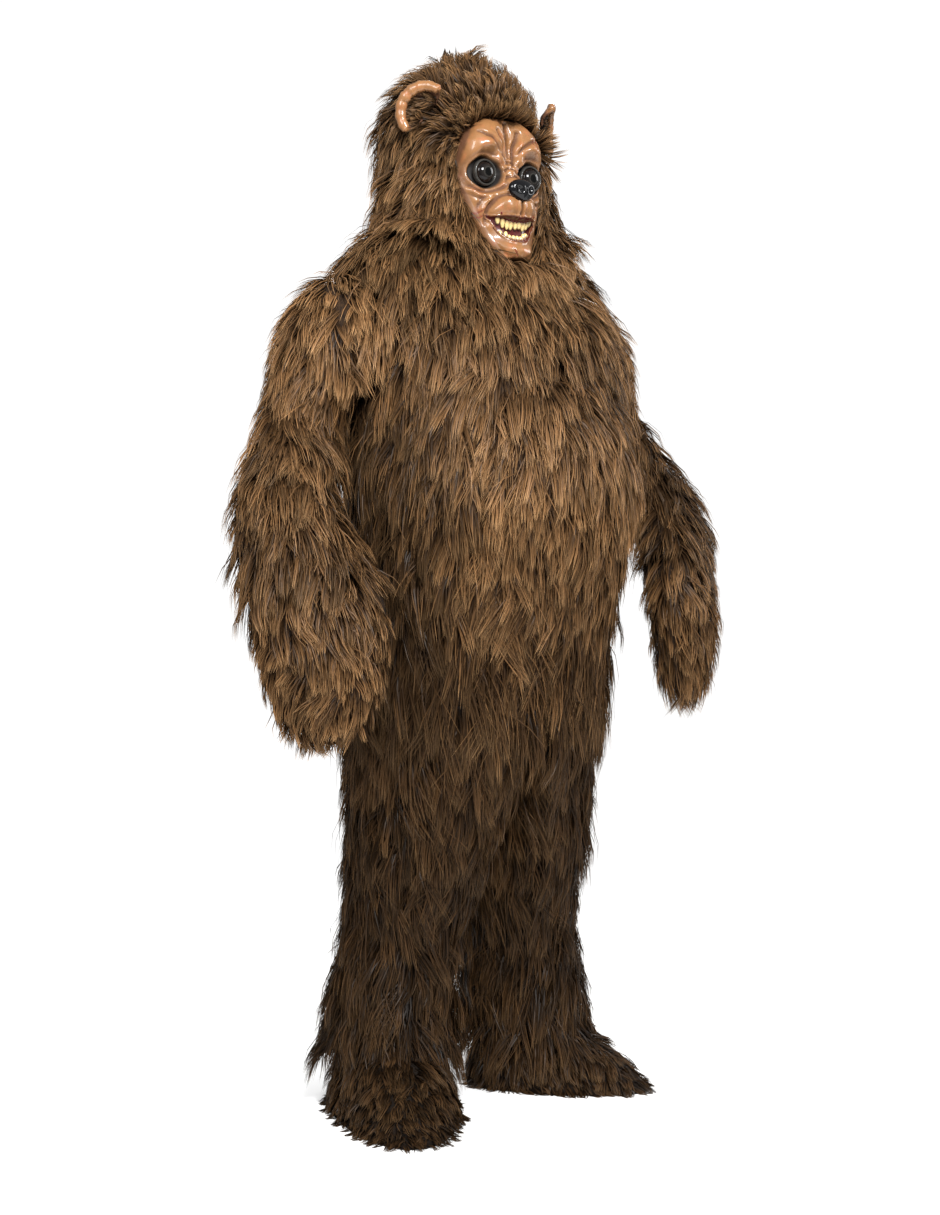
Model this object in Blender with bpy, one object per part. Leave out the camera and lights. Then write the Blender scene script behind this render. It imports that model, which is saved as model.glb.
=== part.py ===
"""Bear costume: a loose suit of long-pile fur with mitts, foot covers, a fur hood and a moulded face.

Every fur piece is a hollow wall. Its inside face is the plain backing, and its outside face is the
envelope of the pile, raised in locks. The suit faces -Y, +Z is up, and the origin is where the
wearer's shoulders carry it. "left" and "right" are the wearer's own.
"""

import math

import bpy
import bmesh
import numpy as np
from mathutils import Matrix, Vector
from mathutils.bvhtree import BVHTree

# Driving sizes, in metres
SHOULDER_HEIGHT = 1.450  # from the soles up to the wearer's shoulders, where the origin is
SEAM = 0.0003  # gap between sewn pieces
SUIT_WALL = 0.022  # backing and pile, lying down
SLEEVE_WALL = 0.018
LEG_WALL = 0.022
MITT_WALL = 0.014
HOOD_WALL = 0.030  # the hood has the longest pile
LATEX_WALL = 0.0032
LOCK_RELIEF = 0.006  # how far one lock of fur stands out of the next
HEM_POINT = 0.012  # how far the locks at a hem hang below each other
CROTCH_HEIGHT = 0.700

# Torso, outside, from the crotch seam to the neck
TORSO = [
    # height, half_width, front, back, centre_y
    (0.700, 0.244, 0.220, 0.205, -0.008),
    (0.760, 0.248, 0.226, 0.210, -0.010),
    (0.830, 0.250, 0.238, 0.210, -0.014),
    (0.900, 0.252, 0.252, 0.204, -0.020),
    (0.970, 0.254, 0.274, 0.196, -0.026),
    (1.040, 0.258, 0.298, 0.190, -0.032),
    (1.110, 0.256, 0.302, 0.188, -0.032),
    (1.180, 0.250, 0.284, 0.190, -0.028),
    (1.250, 0.250, 0.262, 0.190, -0.020),
    (1.320, 0.262, 0.240, 0.188, -0.010),
    (1.390, 0.268, 0.212, 0.178, 0.000),
    (1.440, 0.264, 0.172, 0.164, 0.006),
    (1.480, 0.246, 0.134, 0.150, 0.010),
    (1.510, 0.218, 0.113, 0.138, 0.012),
    (1.532, 0.182, 0.104, 0.124, 0.014),
    (1.552, 0.134, 0.098, 0.110, 0.014),
]
TORSO_SQUARENESS = 2.25  # superellipse power of the torso's rings
FRONT_COLUMNS = 20
BACK_COLUMNS = 10
SEAM_REACH = 0.200  # about how far the seams stand from the torso's axis
BACK_REACH = 0.170  # and the backing at the centre of the back

# Armholes, as pointed ovals in the side of the torso
SIDE_SEAM = math.radians(98)  # from the front, a little behind the middle of the side
ARMHOLE_LOW = 1.225
ARMHOLE_HIGH = 1.462
ARMHOLE_HALF_ANGLE = math.radians(36)
ARMHOLE_FIT = 0.993  # the sleeve's edge, as a share of the armhole, so that it sits a seam inside it

# Large folds of the front and back, as soft troughs in both faces of the wall
FOLDS = [
    # height, angle from the front, half_height, half_angle, depth, slope
    (1.262, -0.35, 0.024, 0.75, 0.020, 0.03),
    (1.110, -0.55, 0.022, 0.38, 0.012, -0.04),
    (0.905, -0.62, 0.030, 0.45, 0.014, 0.12),
    (1.240, 0.62, 0.022, 0.40, 0.012, -0.05),
    (0.880, 0.60, 0.028, 0.40, 0.010, -0.10),
    (1.150, 2.55, 0.026, 0.60, 0.014, 0.04),
    (0.930, -2.70, 0.028, 0.55, 0.012, -0.05),
    (1.330, -2.80, 0.022, 0.34, 0.010, 0.06),
]

# Right arm, outside, from the shoulder to the hem; the left is its mirror
SLEEVE = [
    # x, y, height, lean of its axis from straight down, broad half, narrow half, turn of the broad side
    (-0.289, 0.030, 1.328, 79, 0.111, 0.114, 90),
    (-0.308, 0.034, 1.293, 68, 0.095, 0.100, 88),
    (-0.321, 0.034, 1.243, 56, 0.082, 0.089, 84),
    (-0.336, 0.028, 1.193, 44, 0.077, 0.081, 78),
    (-0.357, 0.014, 1.140, 32, 0.080, 0.077, 62),
    (-0.383, -0.008, 1.090, 22, 0.086, 0.074, 48),
    (-0.405, -0.032, 1.044, 12, 0.095, 0.071, 40),
    (-0.417, -0.060, 0.998, 4, 0.104, 0.067, 37),
    (-0.415, -0.084, 0.950, 0, 0.111, 0.064, 37),
    (-0.406, -0.104, 0.905, 0, 0.118, 0.060, 37),
]
LEFT_ARM_LIFT = 0.055  # the left hand is held higher
SLEEVE_ROWS = 13
SLEEVE_COLUMNS = 20
SLEEVE_FOLDS = [
    # place along the sleeve from 0 to 1, angle, half_length, half_angle, depth
    (0.34, 0.3, 0.055, 1.5, 0.011),
    (0.70, 2.8, 0.060, 1.2, 0.010),
]

# Right mitt, outside, from inside the sleeve's hem to the fingertips
MITT = [
    # x, y, height, lean, broad half, narrow half
    (-0.401, -0.116, 0.868, 0, 0.124, 0.058),
    (-0.398, -0.124, 0.825, 0, 0.125, 0.056),
    (-0.399, -0.128, 0.775, 0, 0.115, 0.053),
    (-0.400, -0.128, 0.725, 0, 0.100, 0.048),
    (-0.401, -0.126, 0.680, 0, 0.074, 0.040),
    (-0.402, -0.124, 0.648, 0, 0.028, 0.020),
]
MITT_TURN = 37
MITT_ROWS = 8

# Right leg, outside, from the crotch seam to the hem
LEG = [
    # height, centre_x, centre_y, half_width, front, back, closeness to the other leg
    (0.700, -0.1220, -0.008, 0.122, 0.220, 0.205, 1.0),
    (0.640, -0.1220, -0.004, 0.121, 0.208, 0.196, 0.9),
    (0.570, -0.1220, 0.000, 0.120, 0.190, 0.180, 0.7),
    (0.490, -0.1230, 0.004, 0.119, 0.166, 0.160, 0.5),
    (0.410, -0.1250, 0.012, 0.114, 0.138, 0.140, 0.3),
    (0.340, -0.1290, 0.024, 0.106, 0.116, 0.118, 0.2),
    (0.290, -0.1330, 0.032, 0.102, 0.108, 0.108, 0.1),
    (0.240, -0.1390, 0.036, 0.110, 0.116, 0.116, 0.0),
    (0.180, -0.1460, 0.036, 0.116, 0.119, 0.118, 0.0),
    (0.118, -0.1500, 0.036, 0.118, 0.122, 0.120, 0.0),
]
LEG_ROWS = 14
LEG_RISE_FROM = 0.200
LEG_COLUMNS = 20
LEG_FOLDS = [
    # height, angle, half_height, half_angle, depth
    (0.560, -1.2, 0.040, 0.9, 0.012),
    (0.400, -1.9, 0.030, 1.0, 0.010),
    (0.480, 0.2, 0.026, 0.8, 0.008),
]

# Right foot cover, outside, below the leg's hem; distances run along the foot
FOOT_SPLAY = math.radians(28)
FEET = [
    # side, how much further the fringe reaches over the toe; the right foot stands a little ahead
    ("right", 0.095),
    ("left", 0.000),
]
ANKLE = (-0.150, 0.036)
FOOT_SEAT_TOP = 0.150  # the cover's top is tucked this high inside the leg
FOOT = [
    # height, toe, heel, half_width
    (0.106, 0.110, 0.092, 0.090),
    (0.090, 0.146, 0.096, 0.098),
    (0.068, 0.180, 0.102, 0.106),
    (0.046, 0.214, 0.108, 0.114),
    (0.023, 0.242, 0.114, 0.121),
    (0.001, 0.258, 0.116, 0.125),
]
FOOT_WALL = 0.020

# Hood, outside, from the hem over the shoulders to the crown
HOOD = [
    # height, half_width, front, back, centre_y
    (1.452, 0.183, 0.214, 0.166, 0.010),
    (1.480, 0.180, 0.208, 0.164, 0.012),
    (1.520, 0.172, 0.193, 0.160, 0.016),
    (1.560, 0.164, 0.180, 0.156, 0.020),
    (1.610, 0.157, 0.170, 0.152, 0.025),
    (1.660, 0.153, 0.162, 0.150, 0.030),
    (1.710, 0.150, 0.156, 0.146, 0.034),
    (1.750, 0.144, 0.148, 0.138, 0.036),
    (1.790, 0.126, 0.128, 0.121, 0.038),
    (1.824, 0.094, 0.096, 0.092, 0.038),
    (1.848, 0.056, 0.058, 0.054, 0.038),
    (1.864, 0.022, 0.024, 0.022, 0.038),
]
HOOD_COLUMNS = 12
SIDE_LIFT = 0.096  # the hood's hem rises this far over the shoulders
BACK_LIFT = 0.046
HOOD_CLEARANCE = 0.0016  # from the suit's shoulders to the inside of the hood
HOOD_LOCK_RELIEF = 0.0096
CROWN_START = 1.760  # the hood's inside drops below its outside from here up
HEAD_AXIS_Y = 0.030
HEAD_MIDDLE = 1.600
NECK_AXIS_Y = 0.014
COLLAR_TOP = 1.560  # the hood's inside is widened round the suit below this

# Face opening, an oval in the front of the hood
MASK_GAP = 0.0007  # from the hood's edge to the face
MASK_SHY = math.radians(1.6)  # the raised part of the face keeps this far inside the opening
FACE_LOW = 1.462
FACE_HIGH = 1.728
FACE_HALF_ANGLE = math.radians(46)
FACE_NARROW = (1.490, 1.596)  # it widens from the jaw to the cheeks between these heights
FACE_ROWS = 15
FACE_COLUMNS = 24
FACE_AT = (0.000, 0.022, 0.047, 0.072, 0.098)  # distances from the middle of the face
FACE_SECTIONS = [
    # height, how far the face stands forward at each of those distances
    (1.450, 0.138, 0.126, 0.100, 0.084, 0.074),
    (1.466, 0.146, 0.138, 0.112, 0.092, 0.076),
    (1.478, 0.150, 0.143, 0.117, 0.096, 0.078),
    (1.490, 0.149, 0.142, 0.118, 0.097, 0.078),
    (1.503, 0.139, 0.135, 0.117, 0.097, 0.078),
    (1.521, 0.131, 0.130, 0.117, 0.098, 0.078),
    (1.534, 0.139, 0.137, 0.121, 0.099, 0.078),
    (1.546, 0.145, 0.143, 0.124, 0.100, 0.078),
    (1.561, 0.148, 0.146, 0.125, 0.101, 0.079),
    (1.576, 0.148, 0.143, 0.119, 0.101, 0.080),
    (1.592, 0.141, 0.133, 0.110, 0.100, 0.081),
    (1.607, 0.128, 0.121, 0.102, 0.099, 0.083),
    (1.621, 0.118, 0.114, 0.100, 0.099, 0.085),
    (1.634, 0.114, 0.114, 0.106, 0.103, 0.088),
    (1.647, 0.110, 0.115, 0.119, 0.112, 0.092),
    (1.662, 0.106, 0.114, 0.121, 0.115, 0.094),
    (1.684, 0.104, 0.112, 0.117, 0.110, 0.090),
    (1.706, 0.101, 0.106, 0.107, 0.099, 0.082),
    (1.732, 0.094, 0.096, 0.094, 0.086, 0.072),
]
FACE_FULLNESS = 6.0  # how squarely the face turns in to its edge
SOCKET_DEPTH = -0.098  # an eye socket's floor
SOCKET_FLOOR = 0.0235  # radius of its flat floor, and of its rim
SOCKET_RIM = 0.0315
FACE_SEAT = 0.0008  # from the face to the lenses and teeth on it
START_AHEAD = -0.240  # face parts start here, ahead of the face, and are set down on it
EYE_X = 0.050
EYE_HEIGHT = 1.621
LENS_RADIUS = 0.0205
LENS_DEPTH = 0.013
DOME_BACK = 0.25  # lenses and nose are cut flat behind at this share of their depth
NOSE_HEIGHT = 1.589
NOSE_HALF = (0.0235, 0.012, 0.0175)
TOOTH_COUNT = 8
MOUTH_HALF_WIDTH = 0.038
MOUTH_SMILE = 0.011  # the teeth rise this far to the corners of the mouth
TEETH = [
    # name, height at the gum, height at the tips
    ("teeth_upper", 1.537, 1.520),
    ("teeth_lower", 1.506, 1.517),
]
TOOTH_THICKNESS = 0.004
EAR_FOOT = (0.132, -0.052, 1.728)  # middle of the ear's straight edge, before it is set down on the hood
EAR_OUT = (0.36, 0.58, 0.62)  # from there to the middle of its rim, back and up the side of the head
EAR_FACES = (0.86, -0.50, 0.08)  # the way its hollow faces
EAR_SEAT = (0.93, -0.30, 0.20)  # the way out of the hood's side where it is sewn on
EAR_HEIGHT = 0.048
EAR_HALF_WIDTH = 0.046
EAR_COLUMNS = 12
EAR_GAP = 0.0009
ZIP_WIDTH = 0.026
ZIP_THICKNESS = 0.0024
ZIP_GAP = 0.0014

FUR_BROWN = (0.115, 0.066, 0.035)
LEG_BROWN = (0.070, 0.040, 0.022)
LATEX_TAN = (0.450, 0.235, 0.090)
LENS_BLACK = (0.004, 0.004, 0.004)
TOOTH_IVORY = (0.600, 0.500, 0.250)
ZIP_BROWN = (0.060, 0.035, 0.020)


def clear_scene():
    for thing in list(bpy.data.objects):
        bpy.data.objects.remove(thing, do_unlink=True)


def material(name, colour, roughness, metallic=0.0):
    made = bpy.data.materials.get(name)
    if made:
        return made
    made = bpy.data.materials.new(name)
    made.use_nodes = True
    shader = made.node_tree.nodes["Principled BSDF"]
    shader.inputs["Base Color"].default_value = (*colour, 1.0)
    shader.inputs["Roughness"].default_value = roughness
    shader.inputs["Metallic"].default_value = metallic
    return made


def fur():
    return material("fur", FUR_BROWN, 0.85)


def leg_fur():
    return material("leg_fur", LEG_BROWN, 0.88)


def latex():
    return material("latex", LATEX_TAN, 0.32)


def gloss_black():
    return material("gloss_black", LENS_BLACK, 0.08)


def ivory():
    return material("ivory", TOOTH_IVORY, 0.30)


def zip_tape():
    return material("zip_tape", ZIP_BROWN, 0.70)


def smooth_columns(table, places):
    """Rows of the table read along one smooth curve, at places from 0 to 1 of its length in rows."""
    rows = np.array(table, float)
    last = len(rows) - 1
    spots = np.clip(np.asarray(places, float), 0.0, 1.0) * last
    low = np.minimum(spots.astype(int), last - 1)
    part = (spots - low)[:, None]
    before = rows[np.maximum(low - 1, 0)]
    start, end = rows[low], rows[low + 1]
    after = rows[np.minimum(low + 2, last)]
    leaving, arriving = (end - before) / 2, (after - start) / 2
    return (
        (2 * part**3 - 3 * part**2 + 1) * start
        + (part**3 - 2 * part**2 + part) * leaving
        + (3 * part**2 - 2 * part**3) * end
        + (part**3 - part**2) * arriving
    )


def at_heights(table, heights):
    """The table's other columns at given heights, in its first column."""
    fine = smooth_columns(table, np.linspace(0, 1, 40 * len(table)))
    return np.array([np.interp(heights, fine[:, 0], fine[:, i]) for i in range(1, fine.shape[1])]).T


def trough(value, half):
    return np.exp(-((value / half) ** 2))


def turn_between(angle, centre):
    return (angle - centre + math.pi) % (2 * math.pi) - math.pi


def normals_of(points):
    """Outward unit normals of a grid of rows that climb and columns that turn anticlockwise."""
    up = np.gradient(points, axis=0)
    around = np.gradient(points, axis=1)
    across = np.cross(around, up)
    return across / np.maximum(np.linalg.norm(across, axis=2, keepdims=True), 1e-9)


def place(points):
    """Heights above the soles become Z from the shoulders."""
    moved = np.array(points, float)
    moved[..., 2] -= SHOULDER_HEIGHT
    return moved


def add_object(name, mesh_builder, finish):
    mesh = bpy.data.meshes.new(name)
    mesh_builder.to_mesh(mesh)
    mesh_builder.free()
    thing = bpy.data.objects.new(name, mesh)
    bpy.context.scene.collection.objects.link(thing)
    thing.data.materials.append(finish)
    mesh.shade_smooth()
    return thing


def thick_shell(name, outer, inner, finish, closed=False, capped=False):
    """One closed body from two grids of points. closed joins the last column to the first, and
    capped covers the last row, so that it has no edge there."""
    build = bmesh.new()
    front = [[build.verts.new(point) for point in row] for row in place(outer)]
    back = [[build.verts.new(point) for point in row] for row in place(inner)]
    rows, columns = len(outer), len(outer[0])
    spans = columns if closed else columns - 1
    for layer in (front, back):
        for low, high in zip(layer, layer[1:]):
            for c in range(spans):
                after = (c + 1) % columns
                build.faces.new([low[c], low[after], high[after], high[c]])
        if capped:
            build.faces.new(layer[-1])
    edges = [(0, c, 0, (c + 1) % columns) for c in range(spans)]
    if not capped:
        edges += [(rows - 1, c, rows - 1, (c + 1) % columns) for c in range(spans)]
    if not closed:
        edges += [(r, c, r + 1, c) for r in range(rows - 1) for c in (0, columns - 1)]
        if capped:
            edges.append((rows - 1, 0, rows - 1, columns - 1))
    for r0, c0, r1, c1 in edges:
        build.faces.new([front[r0][c0], front[r1][c1], back[r1][c1], back[r0][c0]])
    bmesh.ops.triangulate(build, faces=build.faces[:])
    bmesh.ops.recalc_face_normals(build, faces=build.faces[:])
    return add_object(name, build, finish)


def mirror(thing):
    """Moves a piece to the other side of the body."""
    thing.data.transform(Matrix.Scale(-1.0, 4, (1.0, 0.0, 0.0)))
    thing.data.flip_normals()


def mirror_piece(thing, name):
    """The same piece for the other side of the body."""
    mesh = thing.data.copy()
    mesh.name = name
    twin = bpy.data.objects.new(name, mesh)
    bpy.context.scene.collection.objects.link(twin)
    mirror(twin)
    return twin


def locks(rows, columns, first=0):
    """Fur locks in brickwork: 1 where a lock stands out, 0 between locks."""
    row, column = np.meshgrid(np.arange(rows), np.arange(columns) + first, indexing="ij")
    return ((column + row) % 2).astype(float) * (0.7 + 0.3 * np.sin(1.7 * column + 2.3 * row))


def ring(centre, half_width, front, back, angles, power=2.0):
    """Points of a closed ring. The angle is 0 at the front (-Y) and grows towards +X."""
    side = np.sin(angles)
    ahead = np.cos(angles)
    reach = (np.abs(side) ** power + np.abs(ahead) ** power) ** (-1.0 / power)
    depth = np.where(ahead > 0, front, back)
    return np.stack([centre[0] + half_width * side * reach, centre[1] - depth * ahead * reach], axis=-1)


def torso_surface(height, angle):
    """The torso's outside at a height and an angle, folds included."""
    half_width, front, back, centre_y = at_heights(TORSO, height).T
    flat = ring((0.0, 0.0), half_width, front, back, angle, TORSO_SQUARENESS)
    inward = np.zeros_like(height)
    for fold_height, fold_angle, half_height, half_angle, depth, slope in FOLDS:
        off = turn_between(angle, fold_angle)
        level = height - fold_height - slope * off
        inward += depth * trough(level, half_height) * trough(off, half_angle)
    from_side = np.abs(np.abs(turn_between(angle, 0.0)) - SIDE_SEAM)
    inward *= np.clip((from_side - ARMHOLE_HALF_ANGLE - 0.03) / 0.22, 0, 1)
    length = np.linalg.norm(flat, axis=-1)
    scale = (length - inward) / length
    return np.stack([flat[..., 0] * scale, flat[..., 1] * scale + centre_y, height], axis=-1)


def torso_point(height, angle, inward=0.0):
    """A point of the torso's wall, some depth in from its outside along the surface's normal."""
    step, swing = 0.004, 0.02
    up = torso_surface(height + step, angle) - torso_surface(height - step, angle)
    around = torso_surface(height, angle + swing) - torso_surface(height, angle - swing)
    out = np.cross(around, up)
    out /= np.linalg.norm(out, axis=-1, keepdims=True)
    return torso_surface(height, angle) - out * np.asarray(inward)[..., None]


def armhole_angle(height):
    """Half of the angle that the armhole takes out of the side at a height."""
    part = (height - ARMHOLE_LOW) / (ARMHOLE_HIGH - ARMHOLE_LOW)
    inside = (part > 0) & (part < 1)
    return np.where(inside, ARMHOLE_HALF_ANGLE * np.sin(math.pi * np.clip(part, 0, 1)) ** 0.75, 0.0)


def armhole_heights():
    """Heights of the points along the armhole's edge, closer together at its ends."""
    turn = np.linspace(-0.5 * math.pi, 0.5 * math.pi, SLEEVE_COLUMNS // 2 + 1)
    return (ARMHOLE_LOW + ARMHOLE_HIGH) / 2 + (ARMHOLE_HIGH - ARMHOLE_LOW) / 2 * np.sin(turn)


def torso_heights():
    """Row heights: even below the armhole, on its ends exactly, and over the shoulder."""
    low = np.linspace(CROTCH_HEIGHT + SEAM, ARMHOLE_LOW, 9)[:-1]
    top = np.array([1.484, 1.510, 1.532, 1.552])
    return np.concatenate([low, armhole_heights(), top])


def torso_grid(start, end, columns, trim_start, trim_end):
    """Outer and inner points of a torso panel between two seam angles. A trimmed seam steps round
    the armhole."""
    heights = torso_heights()
    hole = armhole_angle(heights)
    gap = SEAM / 2 / SEAM_REACH
    first = start + gap + (hole if trim_start else 0 * hole)
    last = end - gap - (hole if trim_end else 0 * hole)
    share = np.linspace(0, 1, columns + 1)
    angles = first[:, None] + (last - first)[:, None] * share[None, :]
    levels = np.repeat(heights[:, None], columns + 1, axis=1)
    fade = np.clip((1.42 - levels) / 0.06, 0, 1) * np.clip((levels - 0.71) / 0.05, 0, 1)
    raised = LOCK_RELIEF * locks(len(heights), columns + 1) * fade
    raised[:, 0] = 0
    raised[:, -1] = 0
    backing = np.full_like(levels, SUIT_WALL)
    return torso_point(levels, angles, -raised), torso_point(levels, angles, backing)


def make_suit_panels():
    outer, inner = torso_grid(-SIDE_SEAM, SIDE_SEAM, FRONT_COLUMNS, True, True)
    thick_shell("suit_front", outer, inner, fur())
    outer, inner = torso_grid(SIDE_SEAM, math.pi, BACK_COLUMNS, True, False)
    thick_shell("suit_back_left", outer, inner, fur())
    outer, inner = torso_grid(math.pi, 2 * math.pi - SIDE_SEAM, BACK_COLUMNS, False, True)
    thick_shell("suit_back_right", outer, inner, fur())


def make_back_zip():
    """A strip on the inside of the centre-back seam, from the seat to the neck."""
    heights = torso_heights()[1:-4]
    swing = np.array([-0.5, 0.0, 0.5]) * ZIP_WIDTH / BACK_REACH
    levels, angles = np.meshgrid(heights, math.pi + swing, indexing="ij")
    face = torso_point(levels, angles, np.full_like(levels, SUIT_WALL + ZIP_GAP))
    back = torso_point(levels, angles, np.full_like(levels, SUIT_WALL + ZIP_GAP + ZIP_THICKNESS))
    thick_shell("back_zip", face, back, zip_tape())


def armhole_loop(inward):
    """The sleeve's edge in the right armhole, at a depth of the wall, as a loop that starts at the
    top and runs down the front."""
    middle = (ARMHOLE_LOW + ARMHOLE_HIGH) / 2
    rising = armhole_heights()
    swing = armhole_angle(rising)
    heights = np.concatenate([rising[::-1], rising[1:-1]])
    angles = np.concatenate([swing[::-1], -swing[1:-1]])
    heights = middle + (heights - middle) * ARMHOLE_FIT
    angles = -SIDE_SEAM + angles * ARMHOLE_FIT
    return torso_point(heights, angles, np.full_like(heights, inward))


def arm_ring(row, wall, columns, forward):
    """One ring across the arm: it starts at the top or outer side and runs round by the front."""
    x, y, height, lean, broad, narrow, turn = row
    centre = Vector((x, y, height))
    leaning, turned = math.radians(lean), math.radians(turn)
    along = Vector((-math.sin(leaning), forward, -math.cos(leaning))).normalized()
    flat = Vector((math.cos(turned), -math.sin(turned), 0.0))
    wide = (flat - along * flat.dot(along)).normalized()
    thin = along.cross(wide).normalized()
    outward = (Vector((-1, 0, 0)) + along * along.x).normalized()
    ahead = along.cross(outward).normalized()
    if ahead.y > 0:
        ahead = -ahead
    points = []
    for k in range(columns):
        t = 2 * math.pi * k / columns
        spoke = outward * math.cos(t) + ahead * math.sin(t)
        a, b = spoke.dot(wide), spoke.dot(thin)
        reach = 1.0 / math.sqrt((a / (broad - wall)) ** 2 + (b / (narrow - wall)) ** 2)
        points.append(centre + spoke * reach)
    return np.array(points)


def lifted(rows, lift):
    """Arm rows with the hand raised and the shoulder left where it is."""
    rows[:, 2] += lift * np.clip((1.24 - rows[:, 2]) / 0.30, 0, 1)
    return rows


def sleeve_rows(lift):
    return lifted(smooth_columns(SLEEVE, np.linspace(0, 1, SLEEVE_ROWS)), lift)


def forward_slopes(rows):
    """How far the arm runs forward for its length, at each row."""
    run = np.gradient(rows[:, :3], axis=0)
    return run[:, 1] / np.linalg.norm(run, axis=1)


def sleeve_grids(lift):
    rows = sleeve_rows(lift)
    slopes = forward_slopes(rows)
    outer = [armhole_loop(0.0)]
    inner = [armhole_loop(SUIT_WALL)]
    turn = np.linspace(0, 2 * math.pi, SLEEVE_COLUMNS, endpoint=False)
    raised = locks(SLEEVE_ROWS, SLEEVE_COLUMNS)
    for i, (row, slope) in enumerate(zip(rows, slopes)):
        along = i / (SLEEVE_ROWS - 1)
        inward = np.zeros(SLEEVE_COLUMNS)
        for fold_place, fold_angle, half_length, half_angle, depth in SLEEVE_FOLDS:
            across = trough(turn_between(turn, fold_angle), half_angle)
            inward += depth * trough(along - fold_place, half_length) * across
        centre = row[:3]
        for grid, wall, rise in ((outer, 0.0, LOCK_RELIEF * raised[i]), (inner, SLEEVE_WALL, 0.0)):
            points = arm_ring(row, wall, SLEEVE_COLUMNS, slope)
            spokes = points - centre
            length = np.linalg.norm(spokes, axis=1)
            grid.append(centre + spokes * ((length - inward + rise) / length)[:, None])
    hem = outer[-1]
    hem[:, 2] -= HEM_POINT * (np.arange(SLEEVE_COLUMNS) % 2)
    return np.array(outer)[::-1], np.array(inner)[::-1]


def mitt_grids(lift):
    """The mitt's first rows stand inside the sleeve's hem, a seam gap from its inner face."""
    rows = lifted(smooth_columns(MITT, np.linspace(0, 1, MITT_ROWS)), lift)
    rows = np.hstack([rows, np.full((len(rows), 1), MITT_TURN)])
    slopes = forward_slopes(rows)
    arm = sleeve_rows(lift)
    arm_slopes = forward_slopes(arm)
    outer, inner = [], []
    for row, slope in ((arm[-2], arm_slopes[-2]), (arm[-1], arm_slopes[-1])):
        outer.append(arm_ring(row, SLEEVE_WALL + SEAM, SLEEVE_COLUMNS, slope))
        inner.append(arm_ring(row, SLEEVE_WALL + MITT_WALL, SLEEVE_COLUMNS, slope))
    raised = locks(len(rows), SLEEVE_COLUMNS)
    for i, (row, slope) in enumerate(zip(rows, slopes)):
        points = arm_ring(row, 0.0, SLEEVE_COLUMNS, slope)
        spokes = points - row[:3]
        length = np.linalg.norm(spokes, axis=1)
        rise = LOCK_RELIEF * raised[i] * min(1.0, row[5] / 0.04)
        outer.append(row[:3] + spokes * ((length + rise) / length)[:, None])
        wall = min(MITT_WALL, 0.6 * row[5])
        tip = row.copy()
        tip[2] += 0.012 * (i == len(rows) - 1)
        inner.append(arm_ring(tip, wall, SLEEVE_COLUMNS, slope))
    return np.array(outer), np.array(inner)


def leg_ring(height, wall, columns=LEG_COLUMNS):
    """A ring of the right leg. Near the crotch its inner side is flat against the other leg."""
    centre_x, centre_y, half_width, front, back, close = at_heights(LEG[::-1], np.array([height]))[0]
    angles = np.linspace(0, 2 * math.pi, columns, endpoint=False)
    points = ring((centre_x, centre_y), half_width - wall, front - wall, back - wall, angles)
    wide = 2 * abs(centre_x) - wall
    hugging = ring((0.0, centre_y), wide, front - wall, back - wall, angles, TORSO_SQUARENESS)
    inner_side = np.sin(angles) > -1e-6
    hugging[:, 0] = np.where(inner_side, 0.0, hugging[:, 0])
    hugging[:, 0] = np.minimum(hugging[:, 0], -wall)
    mixed = close * hugging + (1 - close) * points
    inward = np.zeros(columns)
    for fold_height, fold_angle, half_height, half_angle, depth in LEG_FOLDS:
        across = trough(turn_between(angles, fold_angle), half_angle)
        inward += depth * trough(height - fold_height, half_height) * across
    spokes = mixed - np.array([centre_x, centre_y])
    length = np.linalg.norm(spokes, axis=1)
    mixed = mixed - spokes * (inward / length)[:, None]
    mixed[:, 0] = np.minimum(mixed[:, 0], -SEAM / 2 - wall * close)
    return np.column_stack([mixed, np.full(columns, height)])


def leg_heights():
    seat = [LEG[-1][0], FOOT_SEAT_TOP]
    return np.concatenate([seat, np.linspace(LEG_RISE_FROM, CROTCH_HEIGHT, LEG_ROWS - 2)])


def leg_grids():
    heights = leg_heights()
    outer = np.array([leg_ring(h, 0.0) for h in heights])
    inner = np.array([leg_ring(h, LEG_WALL) for h in heights])
    angles = np.linspace(0, 2 * math.pi, LEG_COLUMNS, endpoint=False)
    apart = np.where(np.sin(angles) > 0.3, np.clip((0.36 - heights[:, None]) / 0.1, 0, 1), 1.0)
    fade = np.clip((0.66 - heights) / 0.05, 0, 1)[:, None] * apart
    centre = outer.mean(axis=1, keepdims=True)
    spokes = outer - centre
    spokes[..., 2] = 0
    spokes /= np.linalg.norm(spokes, axis=2, keepdims=True)
    outer = outer + spokes * (LOCK_RELIEF * locks(len(heights), LEG_COLUMNS) * fade)[..., None]
    outer[0, :, 2] -= HEM_POINT * (np.arange(LEG_COLUMNS) % 2)
    return outer, inner


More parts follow.
